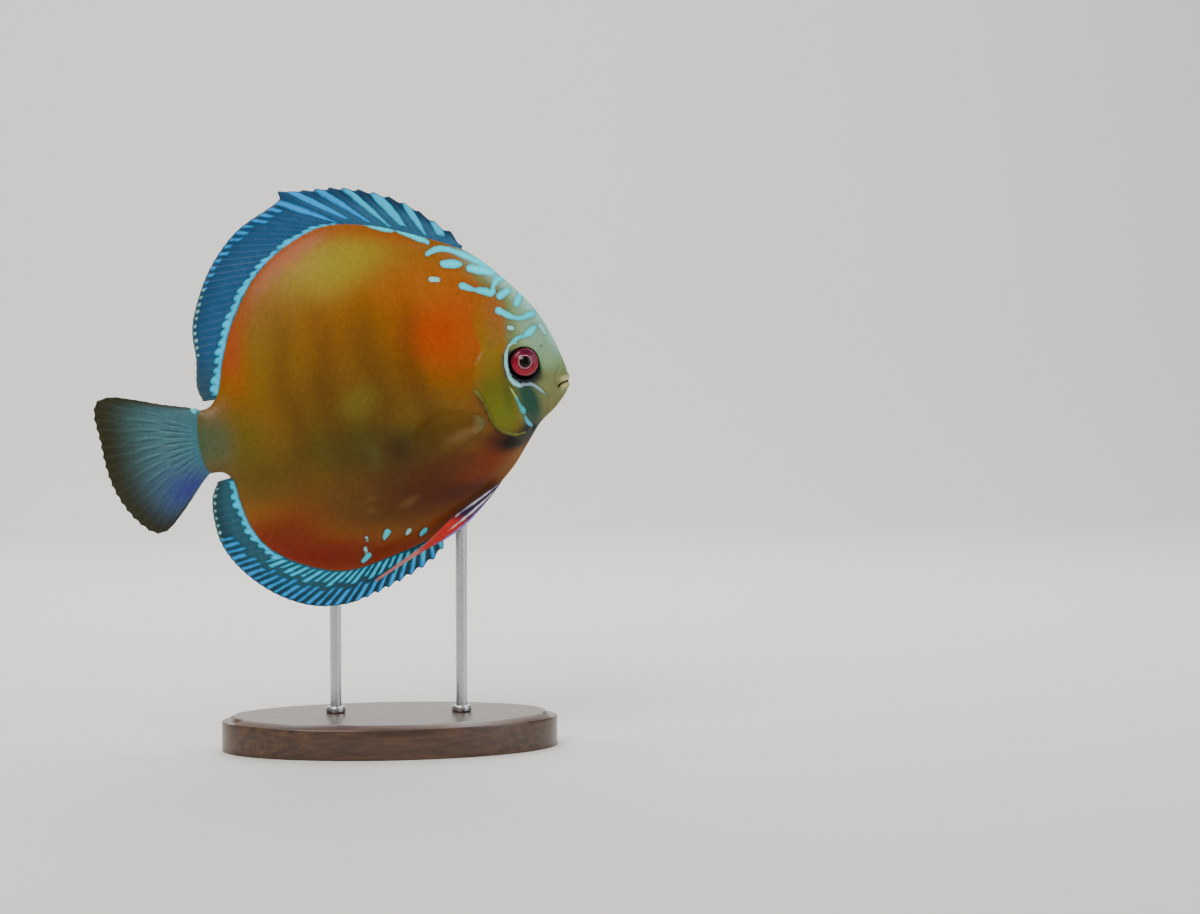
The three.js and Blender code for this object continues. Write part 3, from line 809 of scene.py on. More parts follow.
@dataclass(frozen=True)
class SteelFinish:
    """Drawn stainless steel: bright and grey, with fine lines turned round it that soften highlights.

    Real lines are finer than a tenth of a millimetre, and these are as coarse as the render can show.
    """

    line_mm: float = 0.25

    def make(self) -> bpy.types.Material:
        """Builds the material from noise that is fine along the rod.

        Returns:
            The material.
        """
        n = Nodes("Brushed stainless steel")
        turned = n.add("Mapping", n.add("TexCoord", out="Object"), None, None, (0.15, 0.15, 1.0))
        lines = n.add("TexNoise", turned, None, 1 / (self.line_mm * MM), 3.0)
        colour = n.add("MixRGB", n.add("MapRange", lines, 0.3, 0.7), rgba("#B4B6B8"), rgba("#CDCFD1"))
        relief = n.add("Bump", 0.3, 0.01 * MM, None, lines)
        rough = n.add("MapRange", lines, 0.3, 0.7, 0.22, 0.36)
        return n.dress(Base_Color=colour, Metallic=1.0, Roughness=rough, Normal=relief)


# Sub-assemblies


@dataclass
class Body:
    """The fish's skin in one piece and the scales over it, sized in millimetres."""

    rings: int = 80
    ring_step: float = 0.34
    ring_growth: float = 0.02
    widest_step: float = 1.5
    rim_step: float = 0.14
    rim_growth: float = 0.35
    fine_mm: float = 0.42
    coarse_mm: float = 1.3
    socket_radii: tuple[float, ...] = (
        2.2, 3.8, 4.6, 5.0, 5.2, 5.36, 5.52, 5.7, 5.95, 6.25, 6.6, 7.0, 7.5, 8.0)
    socket_depth: float = 4.6
    socket_floor: float = 5.1
    socket_edge: float = 5.75
    thinnest: float = 0.25
    scale_step: float = 1.7
    row_step: float = 1.14
    scale_long: float = 2.5
    scale_wide: float = 2.35
    scale_lift: float = 0.13
    scale_sharp: float = 60
    scales_x: Point = (-68, 50)
    scales_z: Point = (-72, 80)
    scales_middle: float = -6
    scales_half: float = 62
    jitter: float = 0.07
    map_reach: float = 84
    map_patch: float = 0.003

    @staticmethod
    def before_nape(x: Array, z: Array) -> Array:
        """How far places lie behind the line on the nape where the scales end."""
        return 44 - 0.16 * (z - 13) - x

    def relief(self, x: Array, z: Array) -> Array:
        """How far the skin stands out of the plain form: folds, lips, orbit, gill cover and pits.

        Args:
            x: Places along the fish.
            z: Places up the fish.

        Returns:
            Heights in millimetres, negative for grooves.
        """
        from_eye = eye_distance(x, z)
        height = 0.5 * bump(from_eye - 6.35, 0.8) + 0.25 * bump(from_eye - 8.6, 1.6) * (x < EYE_X)
        head = on_head(x, z)
        gill = beside(GILL_EDGE, 60, x, z)
        low = rise(14, 9, z)
        height += low * (head * 0.8 * np.exp(-gill / 6) - (1 - head) * 0.35 * np.exp(-gill / 1.1))
        for line, deep, wide, swell in ((PREOPERCLE, 0.3, 0.55, 0.16), (CHEEK_FOLD, 0.34, 0.6, 0.14)):
            groove = beside(line, 40, x, z)
            height += swell * bump(groove - 1.5, 0.9) - deep * bump(groove, wide)
        mouth = beside(MOUTH, 30, x, z)
        at_lips = rise(57.4, 58.6, x)
        height += at_lips * (0.62 * bump(mouth - 1.2, 0.8) - 1.3 * bump(mouth, 0.26))
        for fold in (LIP_FOLD, UPPER_FOLD):
            height -= 0.42 * bump(beside(fold, 16, x, z), 0.42)
        nostril = np.hypot((x - 55.2) / 1.2, z - 9.2)
        height += 0.16 * bump(nostril - 0.95, 0.4) - 0.8 * bump(nostril, 0.5)
        for px, pz in PORES:
            height -= 0.2 * bump(np.hypot(x - px, z - pz), 0.34)
        ripples = np.sin(x * 0.9 + np.sin(z * 0.35) * 2.2) * np.sin(z * 0.7 + 1.3)
        return height + 0.035 * ripples * head

    def depth(self, x: Array, z: Array) -> Array:
        """Half the skin's width with its relief and the eye sockets.

        Args:
            x: Places along the fish.
            z: Places up the fish.

        Returns:
            The half widths in millimetres.
        """
        surface = FORM.half(x, z) - FORM.inset + self.relief(x, z)
        cup = self.socket_depth * rise(self.socket_edge, self.socket_floor, eye_distance(x, z))
        return np.maximum(surface - cup, self.thinnest)

    def rays(self) -> tuple[Array, Array, Array]:
        """Lays rays from the eye out to the rim, closest at the mouth.

        Returns:
            Their directions in x and z, and their lengths.
        """
        loop = FORM.rim_loop
        spacing = self.coarse_mm + (self.fine_mm - self.coarse_mm) * rise(0, 40, loop[:, 0])
        spacing = spacing * (1 - 0.35 * bump(np.hypot(loop[:, 0] - 64, loop[:, 1] + 4.2), 6))
        steps = np.linalg.norm(np.diff(loop, axis=0), axis=1)
        count = int(np.sum(steps / ((spacing[1:] + spacing[:-1]) / 2)))
        rim = even_steps(loop, count, spacing)[:-1]
        across = rim - np.array([EYE_X, EYE_Z])
        length = np.linalg.norm(across, axis=1)
        directions = across / length[:, None]
        x, z = rim.T
        lips = 0.35 * bump(z + 2.6, 0.9) + 0.3 * bump(z + 6, 0.9) - 0.7 * bump(z + 4.3, 0.26)
        return directions[:, 0], directions[:, 1], length - 0.1 + rise(60.5, 63, x) * lips

    def radii(self, length: Array) -> Array:
        """Spreads rings over the skin, closest round the eye socket and at the rim.

        Args:
            length: How long each ray from the eye to the rim is.

        Returns:
            Each ring's distance from the eye along every ray, from the socket out.
        """
        start = self.socket_radii[-1]
        share = np.linspace(0, 1, 600)
        columns = []
        for end in length:
            r = start + (end - start) * share
            step = np.minimum(self.ring_step + self.ring_growth * (r - start), self.widest_step)
            step = np.minimum(step, self.rim_step + self.rim_growth * (end - r))
            run = np.concatenate([[0], np.cumsum(np.diff(r) / ((step[1:] + step[:-1]) / 2))])
            outer = np.interp(np.linspace(0, run[-1], self.rings + 1), run, r)
            columns.append(np.concatenate([self.socket_radii[:-1], outer]))
        return np.column_stack(columns)

    def build_skin(self, material: bpy.types.Material) -> None:
        """Models both flanks from the eyes out, joined along the rim.

        Args:
            material: The skin's finish.
        """
        dir_x, dir_z, length = self.rays()
        radii = self.radii(length)
        rows, count = len(radii) - 1, len(length)
        all_x, all_z = EYE_X + radii * dir_x, EYE_Z + radii * dir_z
        x, z = np.append(EYE_X, all_x[:-1]), np.append(EYE_Z, all_z[:-1])
        y = self.depth(x, z)
        flanks = [np.column_stack([x, side.value * y, z]) for side in Side]
        points = np.vstack([*flanks, np.column_stack([all_x[-1], np.zeros(count), all_z[-1]])])
        half = rows * count + 1
        faces = []
        around = np.arange(count)
        for s in range(2):
            pole = np.full(count, s * half)
            rings = [pole, *(pole + 1 + k * count + around for k in range(rows)), 2 * half + around]
            for near, far in zip(rings[:-1], rings[1:]):
                ring = np.column_stack([near, far, np.roll(far, -1), np.roll(near, -1)])
                faces.append(ring if s == 0 else ring[:, ::-1])
        quads = [list(dict.fromkeys(quad)) for quad in np.vstack(faces).tolist()]
        piece = new_piece("skin", points, quads, material)
        self.paint(piece, points, body_colour(points[:, 0], points[:, 2]))
        settle(piece, "skin", "head", "gill_cover_right", "gill_cover_left", "upper_lip", "lower_jaw",
               "trunk", "tail_stalk")

    @staticmethod
    def paint(piece: bpy.types.Object, points: Array, tint: Array) -> None:
        """Stores the body's soft colours and its nearest marks on a piece.

        Args:
            piece: The piece to paint.
            points: Its level points.
            tint: Its soft colours.
        """
        x, z = points[:, 0], points[:, 2]
        reach, mark_tint = nearest_mark([(stroke.reach(x, z), stroke.colour) for stroke in STROKES])
        put_values(piece, tint=tint, mark=reach, mark_tint=mark_tint)

    def scale_roots(self) -> tuple[Array, Array, Array, Array]:
        """Finds where the scales grow: staggered rows that draw together toward the head and tail.

        Returns:
            Their x and z, how large each is beside a full one, and the way each points.
        """
        columns, rows = np.arange(*self.scales_x, self.scale_step), np.arange(*self.scales_z, self.row_step)
        row, x = (places.ravel() for places in np.meshgrid(rows, columns, indexing="ij"))
        x = x + self.scale_step / 2 * (np.repeat(np.arange(len(rows)), len(columns)) % 2)
        random = np.random.default_rng(SEED)
        x, row = (np.column_stack([x, row]) + random.normal(0, self.jitter, (len(x), 2))).T
        reach = (x - self.scales_middle) / self.scales_half
        close = 1 - 0.26 * reach ** 2
        z = row * close + 1.5
        aim = np.arctan2(row * 0.52 * reach / self.scales_half, -1.0)
        rim = FORM.rim_distance(x, z)
        nape = (z > 13) & (self.before_nape(x, z) > 0)
        keep = FORM.contains(x, z) & (rim > 1.3) & ((on_head(x, z) < 0.35) | nape)
        size = close * (0.72 + 0.28 * rise(1.5, 7, rim)) * (1 + 0.06 * random.standard_normal(len(x)))
        size *= 0.6 + 0.4 * rise(-0.3, 6, self.before_nape(x, z))
        return x[keep], z[keep], size[keep], aim[keep]

    def build_scales(self, side: Side, material: bpy.types.Material) -> None:
        """Models the scales of one flank as thin overlapping plates that point to the tail.

        Args:
            side: Which flank they cover.
            material: Their finish.
        """
        x, z, size, aim = self.scale_roots()
        round_rear = [(0.5 + 0.5 * math.sin(a), 0.5 * math.cos(a)) for a in np.linspace(0, math.pi, 9)]
        outline = np.array([(0.06, 0.3), *round_rear, (0.06, -0.3), (0.55, 0), (0.5, 0)])
        lift = self.scale_lift * rise(0.1, 1.0, outline[:, 0]) - 0.05
        lift[-1] = -0.1
        along = (outline[:, 0] - 0.35) * self.scale_long
        across = outline[:, 1] * self.scale_wide
        cx, cz = np.cos(aim)[:, None], np.sin(aim)[:, None]
        px = x[:, None] + (along * cx - across * cz) * size[:, None]
        pz = z[:, None] + (along * cz + across * cx) * size[:, None]
        inside = FORM.contains(px.ravel(), pz.ravel()) & (FORM.rim_distance(px.ravel(), pz.ravel()) > 0.5)
        keep = inside.reshape(px.shape).all(axis=1)
        px, pz, x, z = px[keep], pz[keep], x[keep], z[keep]
        count, corners = px.shape
        y = self.depth(px.ravel(), pz.ravel()) + np.tile(lift, count)
        points = np.column_stack([px.ravel(), side.value * y, pz.ravel()])
        border = corners - 2
        turn = [(k, (k + 1) % border) for k in range(border)]
        plate = np.array([(a, b, border) for a, b in turn] + [(b, a, border + 1) for a, b in turn])
        faces = (plate[None] + corners * np.arange(count)[:, None, None]).reshape(-1, 3)
        piece = new_piece(f"scales_{side.name.lower()}", points, faces.tolist(), material)
        piece.data.set_sharp_from_angle(angle=math.radians(self.scale_sharp))
        random = np.random.default_rng(SEED)
        varied = np.repeat(0.95 + 0.1 * random.random(count), corners)
        self.paint(piece, points, body_colour(points[:, 0], points[:, 2]) * varied[:, None])
        put_map(piece, "OFBake", self.root_map(x, z, outline))
        settle(piece, "skin")

    def root_map(self, x: Array, z: Array, outline: Array) -> Array:
        """Small patches on an unwrap of the flank, one at each scale's root.

        The unwrap keeps each root's direction from the middle of the disc and its true distance
        over the curved skin.

        Args:
            x: Roots along the fish.
            z: Roots up the fish.
            outline: The scale's outline, from 0 to 1 long.

        Returns:
            A place on the map for every point of every scale.
        """
        steps = 16
        run = np.zeros(len(x))
        before = FORM.half(x * 0, z * 0)
        for k in range(1, steps + 1):
            now = FORM.half(x * k / steps, z * k / steps)
            run += np.hypot(np.hypot(x, z) / steps, now - before)
            before = now
        angle = np.arctan2(z, x)
        reach = 0.48 * run / self.map_reach
        root = np.column_stack([0.5 + reach * np.cos(angle), 0.5 + reach * np.sin(angle)])
        return (root[:, None] + self.map_patch * (outline[None] - [0.5, 0])).reshape(-1, 2)


SWAY_MOST = 3.2
SWAY_START = -68
SWAY_LENGTH = 34


def sway(x: Array) -> Array:
    """How far the rear of the fish sways sideways, growing toward the tip of the tail."""
    return SWAY_MOST * (np.maximum(0, SWAY_START - x) / SWAY_LENGTH) ** 2


def fin_sheet(name: str, grid: Array, half: Array, centre: Array,
              material: bpy.types.Material) -> bpy.types.Object:
    """Makes a closed two-sided fin from a grid of side-view places.

    Args:
        name: The piece's name.
        grid: Columns by rows of x and z.
        half: Half the thickness at each place.
        centre: The middle of the thickness at each place.
        material: Its finish.

    Returns:
        The fin, with its right face's points before its left face's.
    """
    columns, rows = grid.shape[:2]
    layer = columns * rows
    number = np.arange(layer).reshape(columns, rows)
    right = np.stack([number[:-1, :-1], number[:-1, 1:], number[1:, 1:], number[1:, :-1]], -1)
    right = right.reshape(-1, 4)
    border = np.concatenate([number[:-1, 0], number[-1, :-1], number[:0:-1, -1], number[0, :0:-1]])
    after = np.roll(border, -1)
    wall = np.column_stack([border, after, after + layer, border + layer])
    faces = np.vstack([right, right[:, ::-1] + layer, wall])
    x, z = grid.reshape(-1, 2).T
    points = np.vstack([np.column_stack([x, (centre + s * half).ravel(), z]) for s in (-1, 1)])
    return new_piece(name, points, faces.tolist(), material)


def paint_fin(piece: bpy.types.Object, paint: Paint, marks: list[tuple[Array, str]],
              **layers: Array) -> None:
    """Stores a fin's colours, its nearest marks and other values on both of its faces.

    Args:
        piece: The fin.
        paint: Its soft colours.
        marks: Its marks' signed distances and colours.
        layers: Other values, one for each point of a face.
    """
    reach, mark_tint = nearest_mark(marks)
    layers = {"tint": paint.colour, "mark": reach, "mark_tint": mark_tint, **layers}
    put_values(piece, **{name: np.concatenate([values, values]) for name, values in layers.items()})


BEAD_SPACING = 3.3


@dataclass
class FinPlaces:
    """Where each point of a fin lies, for painting it."""

    along: Array
    out: Array
    ray: Array
    step_mm: Array
    root_mm: Array
    edge_mm: Array
    run_mm: Array

    def from_ray(self, pitch: int = 1) -> Array:
        """Distance to the nearest ray, or to every second or third, in millimetres."""
        ray = self.ray / pitch
        return np.abs(ray - np.round(ray)) * pitch * self.step_mm

    def uneven(self, pitch: int = 1) -> Array:
        """A value from -1 to 1 that differs from one ray to the next."""
        return np.sin(2.3 * np.round(self.ray / pitch) + 0.7)

    def within(self, start: float, end: float) -> Array:
        """Signed distance to a stretch along the fin, negative inside it."""
        return np.maximum(start - self.along, self.along - end) * self.run_mm.max()

    def bars(self, share: float | Array, start: float, end: float, inner: Array,
             outer: Array, pitch: int = 1) -> Array:
        """Signed distance to bars on the rays.

        Args:
            share: Half a bar's width as a share of the space between rays.
            start: Where they start along the fin.
            end: Where they end along the fin.
            inner: Distance past their inner ends, negative beyond them.
            outer: Distance past their outer ends, negative before them.
            pitch: How many rays lie from one bar to the next.

        Returns:
            The distances, negative inside the bars.
        """
        across = self.from_ray(pitch) - share * pitch * self.step_mm
        return np.maximum.reduce([across, inner, outer, self.within(start, end)])

    def beads(self, start: float, end: float, size: float) -> Array:
        """Signed distance to a line of beads beside the body.

        Args:
            start: Where it starts along the fin.
            end: Where it ends along the fin.
            size: The beads' radius.

        Returns:
            The distances, negative inside the line.
        """
        size = size * (1 + 0.16 * np.sin(0.55 * self.run_mm))
        beads = self.run_mm / BEAD_SPACING
        off = np.abs(beads - np.round(beads)) * BEAD_SPACING
        bead = np.hypot(off, self.root_mm - size) - 0.95 * size
        line = np.minimum(bead, np.abs(self.root_mm - 0.4 * size) - 0.62 * size)
        return np.maximum(line, self.within(start, end))


@dataclass
class MiddleFin:
    """A fin on the fish's middle line, with raised rays and a thin edge."""

    name: str
    rays: int
    spines: int
    edge: Points
    root_ends: tuple[Point, Point] = ((0, 0), (0, 0))
    lag: float = 0.3
    rows: int = 26
    columns_per_ray: int = 10
    edge_steps: int = 900
    sunk: float = 1.4
    root_half: float = 0.9
    edge_half: float = 0.26
    notch: float = 1.3
    fringe: float = 0.16
    rib: float = 0.15

    def root_line(self) -> Array:
        """The fin's root, sunk a little into the body, from front to back.

        Returns:
            Rows of x and z.
        """
        loop = FORM.rim
        run = np.roll(loop, -1, axis=0) - np.roll(loop, 1, axis=0)
        inward = np.column_stack([-run[:, 1], run[:, 0]]) / np.linalg.norm(run, axis=1)[:, None]
        ends = [int(np.argmin(np.hypot(loop[:, 0] - x, loop[:, 1] - z))) for x, z in self.root_ends]
        line = (loop + self.sunk * inward)[min(ends):max(ends) + 1]
        return line if ends[0] < ends[1] else line[::-1]

    def build(self, material: bpy.types.Material) -> None:
        """Models the fin from its root to its edge, ray by ray, and paints it.

        Args:
            material: The fin's finish.
        """
        columns = self.rays * self.columns_per_ray + 1
        s = np.linspace(0, 1, columns)
        t = np.linspace(0, 1, self.rows) ** 0.92
        root = even_steps(self.root_line(), columns - 1)
        edge_line = smooth_curve(self.edge, self.edge_steps)
        share = s + self.lag * s * (1 - s) * (1.6 - 1.2 * s)
        even = np.linspace(0, 1, len(edge_line))
        edge = np.column_stack([np.interp(share, even, column) for column in edge_line.T])
        ray = s * self.rays
        reach = np.linalg.norm(edge - root, axis=1)
        between = np.abs(np.sin(math.pi * ray))
        spiny = rise(self.spines + 1.5, self.spines - 0.5, ray)
        cut = self.notch * spiny * between ** 1.5 + self.fringe * between * (1 - spiny)
        out = (1 - np.clip(cut / np.maximum(reach, 1), 0, 0.6))[:, None] * t
        grid = root[:, None] * (1 - out[..., None]) + edge[:, None] * out[..., None]
        raised = ((1 - between) ** 2)[:, None]
        half = self.root_half + (self.edge_half - self.root_half) * out ** 0.8
        half = half + self.rib * raised * (1 - 0.4 * out) * np.minimum(1, 8 * out)
        half = half * (1 - 0.55 * rise(0.94, 1.0, t))
        centre = sway(grid[..., 0]) + 0.45 * np.sin(ray * 0.62)[:, None] * out ** 2
        piece = fin_sheet(f"{self.name}_skin", grid, half, centre, material)
        step = np.linalg.norm(np.gradient(grid, axis=0), axis=2) * self.columns_per_ray
        run = np.concatenate([[0], np.cumsum(np.linalg.norm(np.diff(root, axis=0), axis=1))])
        along, ray, run = (np.repeat(values, self.rows) for values in (s, ray, run))
        out_mm = reach[:, None] * out
        self.paint(piece, FinPlaces(along, out.ravel(), ray, step.ravel(), (out_mm - self.sunk).ravel(),
                                    (out_mm[:, -1:] - out_mm).ravel(), run))
        settle(piece, "fin", self.name)

    def paint(self, piece: bpy.types.Object, at: FinPlaces) -> None:
        """Paints the fin; each kind of fin has its own colours."""
        raise NotImplementedError


SKY = "#1E8AD0"
BEAD = "#00B8E6"


class DorsalFin(MiddleFin):
    """The slate-blue back fin: striped at the front, with a beaded line beside the body."""

    def paint(self, piece: bpy.types.Object, at: FinPlaces) -> None:
        """Lays slate blue, a paler front and the cyan and blue marks.

        Args:
            piece: The fin.
            at: Where its points lie.
        """
        paint = Paint("#204E76", len(at.out))
        paint.lay("#12344F", rise(0.5, 1, at.out) * 0.5)
        paint.lay("#2F5F7E", rise(0.4, 0.2, at.along) * rise(0.9, 0.4, at.out) * 0.8)
        paint.lay("#0E2438", rise(0.3, 0.1, at.along) * rise(0.5, 0.9, at.out) * 0.7)
        paint.lay("#2C4448", rise(0.84, 0.97, at.along) * 0.6)
        paint.lay("#3C5450", rise(1.2, 0.3, at.edge_mm) * rise(0.55, 0.7, at.along) * 0.6)
        short = (5.4 - 3.2 * rise(0.34, 0.62, at.along)) * (1 + 0.22 * at.uneven())
        long = 2.2 + 1.4 * at.uneven(2)
        taper = rise(0, 0.6, at.out) * (1 - 0.5 * rise(0.75, 1.0, at.out))
        share = (0.1 + 0.14 * taper) * (1 + 0.2 * at.uneven(2))
        dots = np.maximum(np.hypot(at.from_ray(), at.edge_mm - 1) - 0.5, at.within(0.64, 0.86))
        marks = [
            (at.beads(0.34, 0.985, 1.36), BEAD),
            (at.bars(share, 0.02, 0.2, long - at.root_mm, 0.4 - at.edge_mm, 2), "#22A8D0"),
            (at.bars(share, 0.2, 0.35, 1.2 + long - at.root_mm, 0.3 - at.edge_mm, 2), SKY),
            (at.bars(0.24, 0.35, 0.64, at.edge_mm - short, 0.3 - at.edge_mm), SKY),
            (dots, ICE),
        ]
        paint_fin(piece, paint, marks, ray=at.ray)


class AnalFin(MiddleFin):
    """The slate-teal belly fin: two rows of bars at the front and a beaded line at the back."""

    def paint(self, piece: bpy.types.Object, at: FinPlaces) -> None:
        """Lays slate teal and the cyan and blue marks.

        Args:
            piece: The fin.
            at: Where its points lie.
        """
        paint = Paint("#225060", len(at.out))
        paint.lay("#142C37", rise(0.45, 0.9, at.out) * 0.7)
        paint.lay("#0F222A", rise(0.5, 0.2, at.along) * 0.5)
        paint.lay("#3A4F51", rise(1.4, 0.3, at.edge_mm) * rise(0.6, 0.75, at.along) * 0.7)
        high = at.root_mm + at.edge_mm
        loose = 0.07 * at.uneven()
        share = 0.24 + 0.05 * at.uneven()
        dots = np.maximum(np.hypot(at.from_ray(), at.edge_mm - 0.9) - 0.4, at.within(0.78, 0.97))
        marks = [
            (at.beads(0.63, 0.985, 1.16), BEAD),
            (at.bars(share, 0.16, 0.64, 0.3 - at.root_mm, at.root_mm - (0.38 + loose) * high), BEAD),
            (at.bars(share, 0.04, 0.78, (0.52 + loose) * high - at.root_mm, 0.3 - at.edge_mm), SKY),
            (at.bars(share, 0.02, 0.17, 0.6 - at.root_mm, 0.3 - at.edge_mm), "#2CA4CC"),
            (dots, ICE),
        ]
        paint_fin(piece, paint, marks, ray=at.ray)


# How many places further on the painted highlight of each painted fold in the tail lies than its painted
# shade.
PAINTED_FOLD_SHIFT = 90


class TailFin(MiddleFin):
    """The thin tail fin: teal at the root and dusky outward, with the shade and highlight of small folds
    painted on its nearly flat sheet.
    """

    def root_line(self) -> Array:
        """The tail's root, from top to bottom, sunk into the stalk."""
        return smooth_curve(FORM.tail_root, 400) + np.array([self.sunk, 0])

    def paint(self, piece: bpy.types.Object, at: FinPlaces) -> None:
        """Lays teal, olive, a violet patch, the painted shade and highlight of small folds and a pale spot
        that is a painted highlight.

        Args:
            piece: The fin.
            at: Where its points lie.
        """
        paint = Paint("#366874", len(at.out))
        paint.lay("#3E666E", rise(0.05, 0.3, at.out) * 0.8)
        paint.lay("#272712", rise(0.35, 0.95, at.out))
        # Painted shade and painted highlight: dark streaks across the rays, and pale ones a little further
        # on, as if the fin were folded.
        dark = rise(0.2, 1, np.sin(4.1 * at.ray + 1.5 * np.sin(7 * at.out)))
        light = np.roll(dark, PAINTED_FOLD_SHIFT)
        paint.lay("#0E2228", 0.65 * dark * bump(at.out - 0.36, 0.24) * bump(at.along - 0.5, 0.32))
        paint.lay("#5F8C94", 0.4 * light * bump(at.out - 0.4, 0.24) * bump(at.along - 0.5, 0.3))
        paint.lay("#2E3576", bump(at.along - 0.8, 0.16) * bump(at.out - 0.42, 0.28))
        # A pale cyan spot at the top of the root: a painted highlight.
        highlight_spot = np.hypot(at.root_mm - 0.8, at.run_mm - 0.6) - 1.1
        paint_fin(piece, paint, [(highlight_spot, "#4FB4C4")], ray=at.ray)


@dataclass
class PairedPlaces:
    """Where each point of a paired fin lies, for painting it."""

    level: Array
    along: Array
    across: Array
    width: Array
    ray: Array


@dataclass
class PairedFin:
    """A fin of a pair, between an upper and a lower edge that run from root to tip."""

    name: str
    upper: Points
    lower: Points
    splay: float
    power: float
    half: float
    rays: int
    from_middle: float | None = None
    columns: int = 120
    rows_per_ray: int = 8

    def build(self, side: Side, material: bpy.types.Material, slot: str) -> None:
        """Models the fin on one side of the fish and paints it.

        Args:
            side: Which side it is on.
            material: The fin's finish.
            slot: The record's material slot for that finish.
        """
        upper, lower = (smooth_curve(edge, self.columns - 1) for edge in (self.upper, self.lower))
        rows = self.rays * self.rows_per_ray + 1
        t = np.linspace(0, 1, rows)
        along, across = np.meshgrid(np.linspace(0, 1, self.columns), t, indexing="ij")
        grid = upper[:, None] * (1 - across[..., None]) + lower[:, None] * across[..., None]
        if self.from_middle is None:
            flank = FORM.half(grid[..., 0].ravel(), grid[..., 1].ravel()).reshape(along.shape)
            start = flank - 0.3 + 0.9 * rise(0, 0.12, along)
        else:
            start = self.from_middle
        ray = t * self.rays
        rib = (1 - np.abs(np.sin(math.pi * ray))) ** 2
        lens = np.sqrt(np.clip(1 - (2 * t - 1) ** 2, 0.02, 1))
        half = self.half * (1 - 0.6 * along) * (0.45 + 0.55 * lens) + 0.06 * rib * (1 - 0.4 * along)
        centre = start + self.splay * along ** self.power + 0.18 * np.sin(ray * 1.7) * along
        name = f"{self.name}_{side.name.lower()}"
        piece = fin_sheet(f"{name}_skin", grid, half, side.value * centre, material)
        width = np.repeat(np.linalg.norm(upper - lower, axis=1), rows)
        ray = np.tile(ray, self.columns)
        self.paint(piece, PairedPlaces(grid.reshape(-1, 2), along.ravel(), across.ravel(), width, ray))
        settle(piece, slot, name)

    def paint(self, piece: bpy.types.Object, at: PairedPlaces) -> None:
        """Paints the fin; each kind of fin has its own colours."""
        raise NotImplementedError


# A clearer fin than this renders with specks.
CLEAREST = 0.28


class PectoralFin(PairedFin):
    """The thin, half-clear fin behind the gill cover, tinted like the flank that shows through it."""

    def paint(self, piece: bpy.types.Object, at: PairedPlaces) -> None:
        """Lays the flank's colours under it, then faint rays, a tan streak and an olive root.

        Args:
            piece: The fin.
            at: Where its points lie.
        """
        line = (1 - np.abs(np.sin(math.pi * at.ray))) ** 3
        streak = bump(at.across - 0.72, 0.2) * rise(0.85, 0.3, at.along)
        root = rise(0.26, 0.06, at.along)
        paint = Paint(GROUND, len(at.along))
        paint.colour = body_colour(*at.level.T)
        paint.lay("#7A6434", line * 0.22 * (1 - 0.6 * at.along))
        paint.lay("#7E5E34", streak * 0.6)
        paint.lay("#585A2E", root * 0.8)
        solid = np.clip(CLEAREST + 0.2 * line * (1 - at.along) + 0.5 * streak + root, 0, 1)
        paint_fin(piece, paint, [(np.full(len(at.along), FAR), ICE)], solid=solid)


class PelvicFin(PairedFin):
    """The long fin under the breast: white streaks on plum, then red, then a thin pink thread."""

    def paint(self, piece: bpy.types.Object, at: PairedPlaces) -> None:
        """Lays plum, red and pink, and the white and violet streaks.

        Args:
            piece: The fin.
            at: Where its points lie.
        """
        along, across = at.along, at.across
        paint = Paint("#241238", len(along))
        paint.lay("#5A2440", rise(0.3, 0.8, across) * 0.7)
        paint.lay("#B8241A", rise(0.33, 0.45, along + 0.14 * across))
        paint.lay("#8C1A14", rise(0.36, 0.5, along) * (0.5 - 0.5 * np.cos(math.tau * at.ray)) * 0.6)
        paint.lay("#B87A78", rise(0.6, 0.74, along))
        streaks = ((0.1, 0.05, 0.36, 0.46, "#D2CCDE"), (0.56, 0.0, 0.44, 0.42, "#DDD8E6"),
                   (0.94, 0.02, 0.54, 0.5, "#7C78C8"))
        marks = []
        for place, start, end, half, colour in streaks:
            taper = half * rise(start, start + 0.08, along) * rise(end, end - 0.22, along)
            marks.append((np.abs(across - place) * at.width - taper + 0.5 * (along > end), colour))
        paint_fin(piece, paint, marks, ray=at.ray)


